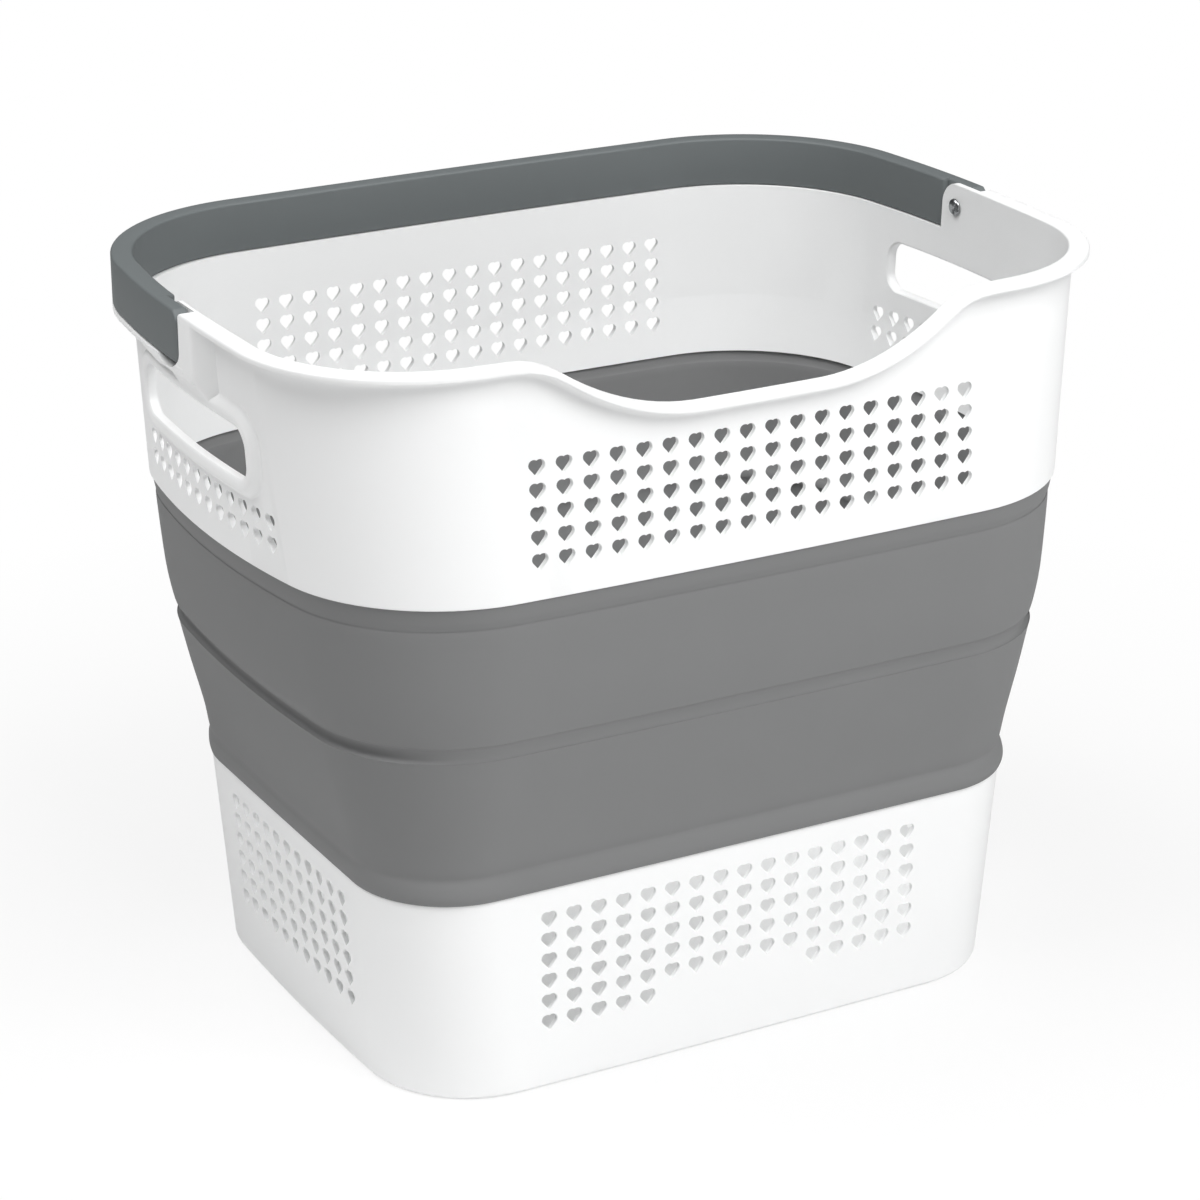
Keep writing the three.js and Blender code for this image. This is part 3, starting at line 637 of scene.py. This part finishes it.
def moulded_material(name, colour, roughness, mottle, grain_scale, bump, wave_scale=12.0, shine=None):
    """A moulded plastic, rubber or metal. Shine sets further inputs of its shader."""
    material = bpy.data.materials.new(name)
    material.use_nodes = True
    tree = material.node_tree
    shader = tree.nodes["Principled BSDF"]
    grain = node(tree, "ShaderNodeGroup")
    grain.node_tree = GRAIN
    grain.inputs["Base"].default_value = (*colour, 1.0)
    grain.inputs["Mottle"].default_value = mottle
    grain.inputs["Grain Scale"].default_value = grain_scale
    grain.inputs["Wave Scale"].default_value = wave_scale
    grain.inputs["Roughness"].default_value = roughness
    grain.inputs["Roughness Spread"].default_value = ROUGHNESS_SPREAD
    relief = node(tree, "ShaderNodeBump", {
        "Height": grain.outputs["Height"], "Strength": bump, "Distance": RELIEF_DEPTH})
    tree.links.new(grain.outputs["Color"], shader.inputs["Base Color"])
    tree.links.new(grain.outputs["Roughness"], shader.inputs["Roughness"])
    tree.links.new(relief.outputs[0], shader.inputs["Normal"])
    for title, value in (shine or {}).items():
        shader.inputs[title].default_value = value
    return material


SOFT_SHINE = {"Specular IOR Level": 0.3}

WHITE_PLASTIC = moulded_material(
    "white_plastic", (0.935, 0.940, 0.940), roughness=0.42, mottle=0.02, grain_scale=2200.0, bump=0.06)
GREY_BAND = moulded_material(
    "grey_band", (0.205, 0.207, 0.208), roughness=0.62, mottle=0.10, grain_scale=2600.0, bump=0.16,
    wave_scale=30.0, shine=SOFT_SHINE)
GREY_HANDLE = moulded_material(
    "grey_handle", (0.150, 0.165, 0.168), roughness=0.55, mottle=0.12, grain_scale=2400.0, bump=0.16,
    shine=SOFT_SHINE)
PIN_METAL = moulded_material(
    "pin_metal", (0.36, 0.37, 0.38), roughness=0.28, mottle=0.06, grain_scale=3000.0, bump=0.05,
    shine={"Metallic": 1.0})

# Upper frame


def slot_outline(offset, corner_steps=9, long_steps=18):
    """The hand slot's outline along Y and Z about its middle, widened by an offset."""
    half_straight = SLOT_LENGTH / 2 - SLOT_CORNER
    half_rise = SLOT_HEIGHT / 2 - SLOT_CORNER
    corner = SLOT_CORNER + offset
    points = []
    for quarter in range(4):
        along = half_straight if quarter in (0, 3) else -half_straight
        up = half_rise if quarter < 2 else -half_rise
        for i in range(corner_steps + 1):
            angle = (quarter + i / corner_steps) * math.pi / 2
            points.append((along + corner * math.cos(angle), up + corner * math.sin(angle)))
        if quarter % 2 == 0:
            x, z = points[-1]
            points += [(x * (1 - 2 * i / long_steps), z) for i in range(1, long_steps)]
    return points


def slot_ring(offset, rise):
    ring_points = []
    for along, up in slot_outline(offset):
        y, z = SLOT_MIDDLE + along, SLOT_CENTRE + up
        ring_points.append((end_face(y, z) + rise, y, z))
    return ring_points


def slot_bead():
    """The soft bead round the hand slot, from its foot on the wall over its crest."""
    root = -WALL / 2
    steps = 7
    profile = [(BEAD_WIDTH, root), (BEAD_WIDTH, 0.0)]
    for i in range(1, steps + 1):
        share = i / steps
        rise = BEAD_RISE * (0.5 - 0.5 * math.cos(math.pi * share))
        profile.append((BEAD_WIDTH - (BEAD_WIDTH - BEAD_CREST) * share, rise))
    for i in range(1, steps):
        angle = i / (steps - 1) * math.pi / 2
        along = BEAD_CREST * (1 - math.sin(angle)) - BEAD_OVERLAP
        profile.append((along, BEAD_RISE - BEAD_DROP * (1 - math.cos(angle))))
    profile.append((-BEAD_OVERLAP, root))
    return band_piece("slot_bead", [slot_ring(offset, rise) for offset, rise in profile])


def slot_cutter():
    """What opens the slot, with its inner edge eased."""
    middle = 0.35 * SLOT_EASE
    profile = ((-WALL - 8 * SLOT_EASE, 3 * SLOT_EASE), (-WALL, SLOT_EASE), (-WALL + middle, middle),
               (-WALL + SLOT_EASE, 0.0), (12 * SLOT_EASE, 0.0))
    return capped_piece("slot_cutter", [slot_ring(offset, rise) for rise, offset in profile])


def turned_bar(radius, start, stop, steps=48):
    """A round bar along X about the hinge pin."""
    rings = []
    for x in (start, stop):
        rings.append([(x, PIN_Y + radius * math.cos(2 * math.pi * i / steps),
                       PIN_Z + radius * math.sin(2 * math.pi * i / steps)) for i in range(steps)])
    return capped_piece("turned_bar", rings)


def frame_wall():
    """The frame's wall with its tongue and its rolled lip."""
    tongue_outer = -FRAME_OVERHANG - FRAME_COLLAR - SEAM
    tongue_inner = tongue_outer - TONGUE_THICKNESS
    under = RIM - LIP_THICKNESS
    rings = [ring(tongue_outer, SKIRT - TONGUE_DEPTH), ring(tongue_outer, SKIRT)]
    rings += [ring(-0.6, SKIRT), ring(-0.15, SKIRT + 0.2), ring(0.0, SKIRT + 0.7)]
    fillet = arc((LIP_FILLET, under - LIP_FILLET), LIP_FILLET, 180, 90, 5)
    low = arc((LIP_WIDTH - LIP_UNDER_ROUND, under + LIP_UNDER_ROUND), LIP_UNDER_ROUND, -90, 0, 3)
    high = arc((LIP_WIDTH - LIP_TOP_ROUND, RIM - LIP_TOP_ROUND), LIP_TOP_ROUND, 0, 90, 6)
    inner = arc((-WALL + LIP_INNER_ROUND, RIM - LIP_INNER_ROUND), LIP_INNER_ROUND, 90, 180, 5)
    for offset, height in fillet + low + high + inner:
        rings.append(ring(offset, height, follows=True))
    rings += [ring(-WALL, SKIRT + TONGUE_RUN), ring(tongue_inner, SKIRT + 1.0)]
    rings += [ring(tongue_inner, SKIRT - TONGUE_DEPTH)]
    return band_piece("frame_shell", rings)


def rear_ledge():
    """The ledge that the handle lies on, with its underside slanted towards the wall."""
    root, edge = -WALL / 2, LEDGE_EDGE
    profile = [(root, edge - 10.0), (-0.2, edge - 10.0), (0.4, edge - 8.0), (2.2, edge - 4.6)]
    profile += arc((LEDGE_REACH - 1.4, edge + 0.6), 1.4, -60, 0, 4)
    profile += arc((LEDGE_REACH - 0.7, LEDGE_TOP - 0.7), 0.7, 0, 90, 3)
    profile.append((root, LEDGE_TOP))
    rings = []
    for offset, height in profile:
        rings.append([(*outline_point(i, RIM, offset), height) for i in range(AROUND)])
    ledge = band_piece("rear_ledge", rings)
    combine(ledge, box_piece("front_part", (-FAR, -FAR, SKIRT), (FAR, NOTCH_FRONT - 4.0, RIM + OVERRUN)),
            "DIFFERENCE")
    return ledge


def under_tab(root):
    """What carries the ledge below the tab's sweep, run out towards the rear."""
    deep, shallow = LEDGE_TOP - 5.2, LEDGE_TOP - 2.4
    level, stop = PIN_Y + 11.0, PIN_Y + TAB_SWEEP + 12.0
    plan = [(BLOCK_FRONT, deep), (level, deep), (stop, shallow), (stop, LEDGE_TOP), (BLOCK_FRONT, LEDGE_TOP)]
    under = capped_piece("under_tab", [[(x, y, z) for y, z in plan] for x in (root, BLOCK_FACE)])
    soften(under, 0.6)
    return under


def hinge_block():
    """The raised block in front of the handle's tab, run out into the wall, and the ear's flat face."""
    root = end_face(0.0, BLOCK_FOOT) - WALL / 2
    top, low, foot = RIM - 0.6, BLOCK_FOOT - 14.0, LEDGE_TOP - 3.0
    far_front = BLOCK_FRONT - BLOCK_RUN_OUT
    inner = [(root, PIN_Y, low), (root, PIN_Y, top), (root, far_front, top), (root, far_front, low)]
    outer = [(BLOCK_FACE, PIN_Y, foot), (BLOCK_FACE, PIN_Y, top),
             (BLOCK_FACE, BLOCK_FRONT, top), (BLOCK_FACE, BLOCK_FRONT, foot)]
    block = capped_piece("hinge_block", [inner, outer])
    soften(block, 1.6, 4)
    combine(block, under_tab(root), "UNION")
    ear = box_piece("ear", (root, BLOCK_FRONT, BLOCK_FOOT), (HINGE_PLANE, EAR_REAR, RIM - LIP_INNER_ROUND))
    combine(block, ear, "UNION")
    return block


def notch_fillet():
    """Fills the notch's lower corner round the tab's own rounding."""
    reach = TAB_ROUND + SWING_GAP
    overlap = 1.5
    centre = (TAB_FRONT + TAB_ROUND, HANDLE_FOOT + TAB_ROUND)
    curve = arc(centre, reach, 180, 270, 10)
    corner = (centre[0] - reach - overlap, centre[1] - reach - overlap)
    plan = [(corner[0], curve[0][1]), corner, (curve[-1][0], corner[1])] + list(reversed(curve))
    return capped_piece("notch_fillet", [[(x, y, z) for y, z in plan] for x in (
        HINGE_PLANE - 1.0, BLOCK_FACE)])


def tab_sweep():
    """The room that the tab's lower corner needs as it swings down, behind the corner alone."""
    sweep = turned_bar(TAB_SWEEP, HINGE_PLANE, EAR_OUTER, 96)
    ahead = box_piece("ahead", (EAR_INNER, -FAR, SKIRT), (FAR, PIN_Y - TAB_SWEEP_START, RIM + FAR))
    combine(sweep, ahead, "DIFFERENCE")
    return sweep


def top_round(end, radius, near):
    """What rounds off a top corner that looks to the rear, from an X outward."""
    curve = arc((end - radius, RIM - radius), radius, 90, 0, 20)
    past = 3 * OVERRUN
    plan = [(end + past, RIM - radius), (end + past, RIM + past), (end - radius, RIM + past)] + curve
    return capped_piece("top_round", [[(x, y, z) for y, z in plan] for x in (near, EAR_OUTER)])


def make_frame(tree, heart):
    shell = frame_wall()
    combine(shell, box_piece("rear_cut", (-FAR, EAR_REAR, LEDGE_TOP), (FAR, FAR, RIM + FAR)), "DIFFERENCE")
    combine(shell, rear_ledge(), "UNION")
    at_both_ends(shell, hinge_block(), "UNION")
    at_both_ends(shell, slot_bead(), "UNION")
    lip_cut = box_piece(
        "lip_cut", (HINGE_PLANE, NOTCH_FRONT, LEDGE_TOP), (FAR, EAR_REAR + OVERRUN, RIM + FAR))
    at_both_ends(shell, lip_cut, "DIFFERENCE")
    at_both_ends(shell, notch_fillet(), "UNION")
    at_both_ends(shell, tab_sweep(), "DIFFERENCE")
    at_both_ends(shell, top_round(EAR_REAR, EAR_RADIUS, EAR_INNER), "DIFFERENCE")
    at_both_ends(shell, top_round(NOTCH_FRONT, NOTCH_ROUND, HINGE_PLANE), "DIFFERENCE")
    at_both_ends(shell, slot_cutter(), "DIFFERENCE")
    at_both_ends(shell, turned_bar(BORE_RADIUS, EAR_INNER, HINGE_PLANE + OVERRUN), "DIFFERENCE")
    perforate(shell, tree, heart, *FRAME_SIDE_FIELD, SIDE_PITCHES, FRAME_FRONT_TOP)
    perforate(shell, tree, heart, *FRAME_SIDE_FIELD, SIDE_PITCHES, FRAME_REAR_TOP, turn=180)
    for side in (1, -1):
        perforate(shell, tree, heart, *FRAME_END_FIELD, END_PITCHES, FRAME_END_TOP,
                  middle=side * FRAME_END_MIDDLE, turn=side * 90)
    shade(shell, on_wall=True)
    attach(shell, "frame")
    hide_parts("upper_frame")


# Base tub


def make_tub(tree, heart):
    foot_round = 3.0
    inner_round = 6.0
    ease = 0.4
    tongue = TUB_TOP + TONGUE_DEPTH
    rings = [ring(x, z) for x, z in arc((-foot_round, foot_round), foot_round, -90, 0, 6)]
    rings += [ring(0.0, TUB_TOP - 0.5), ring(-0.15, TUB_TOP - 0.1), ring(-TUB_STEP, TUB_TOP)]
    rings += [ring(-TUB_STEP, tongue - ease), ring(-TUB_STEP - ease, tongue)]
    rings += [ring(-WALL + ease, tongue), ring(-WALL, tongue - ease)]
    rings += [ring(x, z) for x, z in arc((-WALL - inner_round, FLOOR + inner_round), inner_round, 0, -90, 8)]
    tub = capped_piece("tub_shell", rings)
    perforate(tub, tree, heart, *TUB_SIDE_FIELD, SIDE_PITCHES, TUB_SIDE_TOP, bare=TUB_BARE)
    perforate(tub, tree, heart, *TUB_SIDE_FIELD, SIDE_PITCHES, TUB_SIDE_TOP, turn=180)
    perforate(tub, tree, heart, *TUB_END_FIELD, END_PITCHES, TUB_END_TOP, turn=90)
    perforate(tub, tree, heart, *TUB_END_FIELD, END_PITCHES, TUB_END_TOP, turn=-90)
    shade(tub, on_wall=True)
    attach(tub, "base")
    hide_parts("base_tub")


# Folding band


def eased_profile(points, steps=4):
    """A smooth curve through the given places."""
    places = np.array(points, dtype=float)
    ends = np.vstack((2 * places[0] - places[1], places, 2 * places[-1] - places[-2]))
    curve = []
    for a, b, c, d in zip(ends, ends[1:], ends[2:], ends[3:]):
        for i in range(steps):
            t = i / steps
            curve.append(0.5 * (2 * b + (c - a) * t + (2 * a - 5 * b + 4 * c - d) * t ** 2
                                + (3 * b - a - 3 * c + d) * t ** 3))
    curve.append(places[-1])
    return [tuple(p) for p in curve]


LOWER_HINGE = TUB_TOP + 13.0
CREASE = 190.4
UPPER_HINGE = SKIRT - 11.3
# Heights between the hinges where the panels bend
PANEL_LOW, PANEL_MIDDLE, PANEL_HIGH = 138.2, 162.5, 216.3
# Where the band's further offsets start along its length, and how soon they are full
BAND_END_START = 150.0
BAND_END_RUN = 40.0


def band_ring(offset, height, at_ends, at_left):
    """One outline of the band, with further offsets at both ends and at the left end alone."""
    points = []
    for index in range(AROUND):
        x, _ = outline_point(index, height, 0.0)
        share = min(max((abs(x) - BAND_END_START) / BAND_END_RUN, 0.0), 1.0)
        share = share * share * (3 - 2 * share)
        further = at_ends + (at_left if x < 0 else 0.0)
        x, y = outline_point(index, height, round(offset + further * share, 3))
        points.append((x, y, height))
    return points


def make_band():
    """Rings up the band's face and down its back, by offset, height, more at the ends, more at the left."""
    foot, top = TUB_TOP + SEAM, SKIRT - SEAM
    over_tongue = TUB_TOP + TONGUE_DEPTH + SEAM
    face = eased_profile((
        (1.2, foot + 0.2, 0, -0.8), (1.8, foot + 2.6, 0, -1.2), (1.5, foot + 5.4, 0, -1.0),
        (0.0, foot + 9.2, 0, 0), (-1.9, LOWER_HINGE, 0, 0.9), (-1.5, LOWER_HINGE + 4.2, 0, 0.5),
        (-0.8, PANEL_LOW, 0, 0), (1.25, PANEL_MIDDLE, 0, 0),
        (2.2, CREASE - 5.6, 0.3, 0), (2.2, CREASE - 4.2, 0.3, 0), (1.6, CREASE - 3.0, -1.0, 0),
        (1.2, CREASE - 1.6, -1.6, 0), (1.2, CREASE + 1.2, -1.6, 0), (1.7, CREASE + 3.8, -0.9, 0),
        (2.2, CREASE + 6.6, 0, 0), (2.5, PANEL_HIGH, 0, 0), (-0.5, UPPER_HINGE - 4.2, 0, 0.3),
        (-1.6, UPPER_HINGE, 0, 0.5), (-1.0, UPPER_HINGE + 4.2, 0, 0), (-1.0, top, 0, 0)))
    back = eased_profile((
        (-2.6, top, 0, 0), (-2.6, UPPER_HINGE + 4.2, 0, 0), (-3.0, UPPER_HINGE, 0, 0),
        (-2.9, UPPER_HINGE - 4.2, 0, 0), (0.1, PANEL_HIGH, 0, 0), (0.1, CREASE + 6.4, 0, 0),
        (-1.0, CREASE + 1.4, -1.6, 0), (-1.0, CREASE - 1.8, -1.6, 0), (-0.2, CREASE - 5.4, 0, 0),
        (-1.15, PANEL_MIDDLE, 0, 0), (-3.2, PANEL_LOW, 0, 0), (-4.0, LOWER_HINGE + 2.0, 0, 0),
        (-2.4, over_tongue, 0, 0)), steps=3)
    inside = [(-0.7, over_tongue, 0, 0), (-0.7, foot, 0, 0)]
    band = band_piece("folding_band", [band_ring(*place) for place in face + back + inside])
    band.data.materials.append(GREY_BAND)
    shade(band, 50.0)
    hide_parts("collapsible_band")
    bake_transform(band)


# Carry handle and its pins


HANDLE_EDGE = 1.3
# How far behind its front end the tab's sections lie, and the same for the arm behind the ear
TAB_PLACES = (0.8, 1.2, 1.8, 2.4, 3.2, 4.0, 4.8, 5.4, 5.94, 6.5, 9.0, 12.0, 18.0, 22.0)
ARM_PLACES = (30.0, 36.0, 42.0, 48.0, 54.0, 60.0)


def handle_section(low_x, high_x, low_z, high_z, radius):
    """Offsets and heights of one section with round corners."""
    corners = ((high_x - radius, low_z + radius, -90), (high_x - radius, high_z - radius, 0),
               (low_x + radius, high_z - radius, 90), (low_x + radius, low_z + radius, 180))
    return [p for x, z, start in corners for p in arc((x, z), radius, start, start + 90, 4)]


def tab_ring(y, shrink=0.0):
    """A section of the tab, whose front end is round about the pin above and round below."""
    into = min(y - TAB_FRONT, TAB_ROUND)
    low = HANDLE_FOOT + TAB_ROUND - math.sqrt(TAB_ROUND ** 2 - (TAB_ROUND - into) ** 2)
    high = RIM
    if y <= PIN_Y:
        high = min(PIN_Z + math.sqrt(max(TAB_RADIUS ** 2 - (y - PIN_Y) ** 2, 0.0)), RIM)
    low_x, high_x = HINGE_PLANE + SWING_GAP + shrink, end_face(y, RIM, HANDLE_REACH) - shrink
    places = handle_section(low_x, high_x, low + shrink, high - shrink, HANDLE_EDGE - shrink * 0.6)
    return [(x, y, z) for x, z in places]


def arm_ring(y, shy=0.0):
    """A section of the bail's arm behind the ear, whose inner face may stand back from the wall's."""
    section = handle_section(-WALL + shy, HANDLE_REACH, HANDLE_FOOT, RIM, HANDLE_EDGE)
    return [(end_face(y, RIM, offset), y, z) for offset, z in section]


def bow_ring(index):
    """A section of the bail round its corner and along the rear, at one place of the outline."""
    section = handle_section(-WALL, HANDLE_REACH, HANDLE_FOOT, RIM, HANDLE_EDGE)
    return [(*outline_point(index, RIM, offset), z) for offset, z in section]


def make_handle():
    """The bail, swept round the rear of the mouth from one tab to the other."""
    step = EAR_REAR + SWING_GAP
    rings = [tab_ring(TAB_FRONT, 1.1), tab_ring(TAB_FRONT + 0.35, 0.45)]
    rings += [tab_ring(TAB_FRONT + y) for y in TAB_PLACES]
    rings.append(tab_ring(step))
    rings += [arm_ring(step + 0.1, 0.9), arm_ring(step + 0.5, 0.3), arm_ring(step + 1.2)]
    rings += [arm_ring(y) for y in ARM_PLACES]
    rings += [bow_ring(index) for index in range(END_STEPS, QUARTER + 1)]
    left = [[(-x, y, z) for x, y, z in r] for r in reversed(rings[:-1])]
    handle = capped_piece("carry_bail", rings + left)
    handle.data.materials.append(GREY_HANDLE)
    shade(handle, 40.0)
    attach(handle, "handle")
    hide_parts("carry_handle")


def make_pin(side, name, stands_for):
    """A pin with a domed head inside the ear and its shank in the tab."""
    inner = end_face(PIN_Y, PIN_Z - HEAD_RADIUS) - WALL - SEAM
    tip = HINGE_PLANE + PIN_DEPTH
    ease = 0.3
    profile = [(tip, PIN_RADIUS - ease), (tip - ease, PIN_RADIUS), (inner, PIN_RADIUS), (inner, HEAD_EDGE)]
    for i in range(8):
        angle = i / 8 * math.pi / 2
        profile.append((inner - ease - HEAD_RISE * math.sin(angle), HEAD_RADIUS * math.cos(angle)))
    steps = 40
    rings = []
    for x, radius in profile:
        turns = [side * 2 * math.pi * i / steps for i in range(steps)]
        rings.append([(side * x, PIN_Y + radius * math.cos(turn), PIN_Z + radius * math.sin(turn))
                      for turn in turns])
    pin = capped_piece(name, list(reversed(rings)))
    pin.data.materials.append(PIN_METAL)
    shade(pin, 40.0)
    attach(pin, "handle")
    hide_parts(stands_for)


# Making the hamper

HEARTS = perforation_tree()
HEART = heart_cutter()
make_tub(HEARTS, HEART)
make_frame(HEARTS, HEART)
discard(HEART)
make_band()
make_handle()
make_pin(1, "pin_right", "right_hinge_pin")
make_pin(-1, "pin_left", "left_hinge_pin")

# Studio


FLOOR_HALF = 9000.0
FLOOR_GREY = 0.85
# Share of plain white that the camera sees on the floor, near the hamper and away from it
WHITE_NEAR, WHITE_AWAY = 0.8, 1.0
NEAR, AWAY = 0.25, 0.7
WORLD_LIGHT = 0.05


def make_floor():
    """A pale floor that shows white to the camera and keeps the hamper's shadow."""
    corners = ((-1, -1), (1, -1), (1, 1), (-1, 1))
    floor = mesh_piece("floor", [(x * FLOOR_HALF, y * FLOOR_HALF, 0.0) for x, y in corners], [(0, 1, 2, 3)])
    material = bpy.data.materials.new("floor")
    material.use_nodes = True
    tree = material.node_tree
    tree.nodes.clear()
    matte = node(tree, "ShaderNodeBsdfDiffuse", {"Color": (FLOOR_GREY, FLOOR_GREY, FLOOR_GREY, 1.0)})
    glow = node(tree, "ShaderNodeEmission", {"Color": (1.0, 1.0, 1.0, 1.0), "Strength": 1.0})
    path = node(tree, "ShaderNodeLightPath")
    place = node(tree, "ShaderNodeTexCoord").outputs["Object"]
    away = node(tree, "ShaderNodeVectorMath", {0: place}, operation="LENGTH")
    whiter = node(tree, "ShaderNodeMapRange", {
        "Value": away.outputs["Value"], "From Min": NEAR, "From Max": AWAY,
        "To Min": WHITE_NEAR, "To Max": WHITE_AWAY})
    share = node(tree, "ShaderNodeMath", {0: path.outputs["Is Camera Ray"], 1: whiter.outputs[0]},
                 operation="MULTIPLY")
    mixed = node(tree, "ShaderNodeMixShader", {0: share.outputs[0], 1: matte.outputs[0], 2: glow.outputs[0]})
    node(tree, "ShaderNodeOutputMaterial", {"Surface": mixed.outputs[0]})
    floor.data.materials.append(material)


def make_world():
    """White to the camera alone, and a little light on the hamper."""
    world = bpy.data.worlds.new("studio")
    world.use_nodes = True
    tree = world.node_tree
    tree.nodes.clear()
    path = node(tree, "ShaderNodeLightPath")
    strength = node(tree, "ShaderNodeMapRange", {
        "Value": path.outputs["Is Camera Ray"], "From Min": 0.0, "From Max": 1.0,
        "To Min": WORLD_LIGHT, "To Max": 1.0})
    light = node(tree, "ShaderNodeBackground", {
        "Color": (1.0, 1.0, 1.0, 1.0), "Strength": strength.outputs[0]})
    node(tree, "ShaderNodeOutputWorld", {"Surface": light.outputs[0]})
    bpy.context.scene.world = world


LAMP_AIM = (0.0, 0.0, 0.25)
LAMP_SIZE = 1.6


def make_lamp(name, place, power, size=LAMP_SIZE, aim=LAMP_AIM):
    data = bpy.data.lights.new(name, "AREA")
    data.shape = "RECTANGLE"
    data.size = size
    data.size_y = size
    data.energy = power
    lamp = bpy.data.objects.new(name, data)
    lamp.location = place
    lamp.rotation_euler = (Vector(aim) - Vector(place)).to_track_quat("-Z", "Y").to_euler()
    bpy.context.scene.collection.objects.link(lamp)


make_floor()
make_world()
make_lamp("key", (0.3, -1.65, 2.24), 56.0)
make_lamp("right_front", (1.73, -1.73, 1.14), 11.0)
make_lamp("left_overhead", (-1.15, 0.25, 2.55), 47.0)
make_lamp("left_low", (-2.3, 0.5, 0.5), 2.4, size=1.2, aim=(0.0, 0.0, 0.2))

bpy.context.scene.view_settings.view_transform = "Standard"
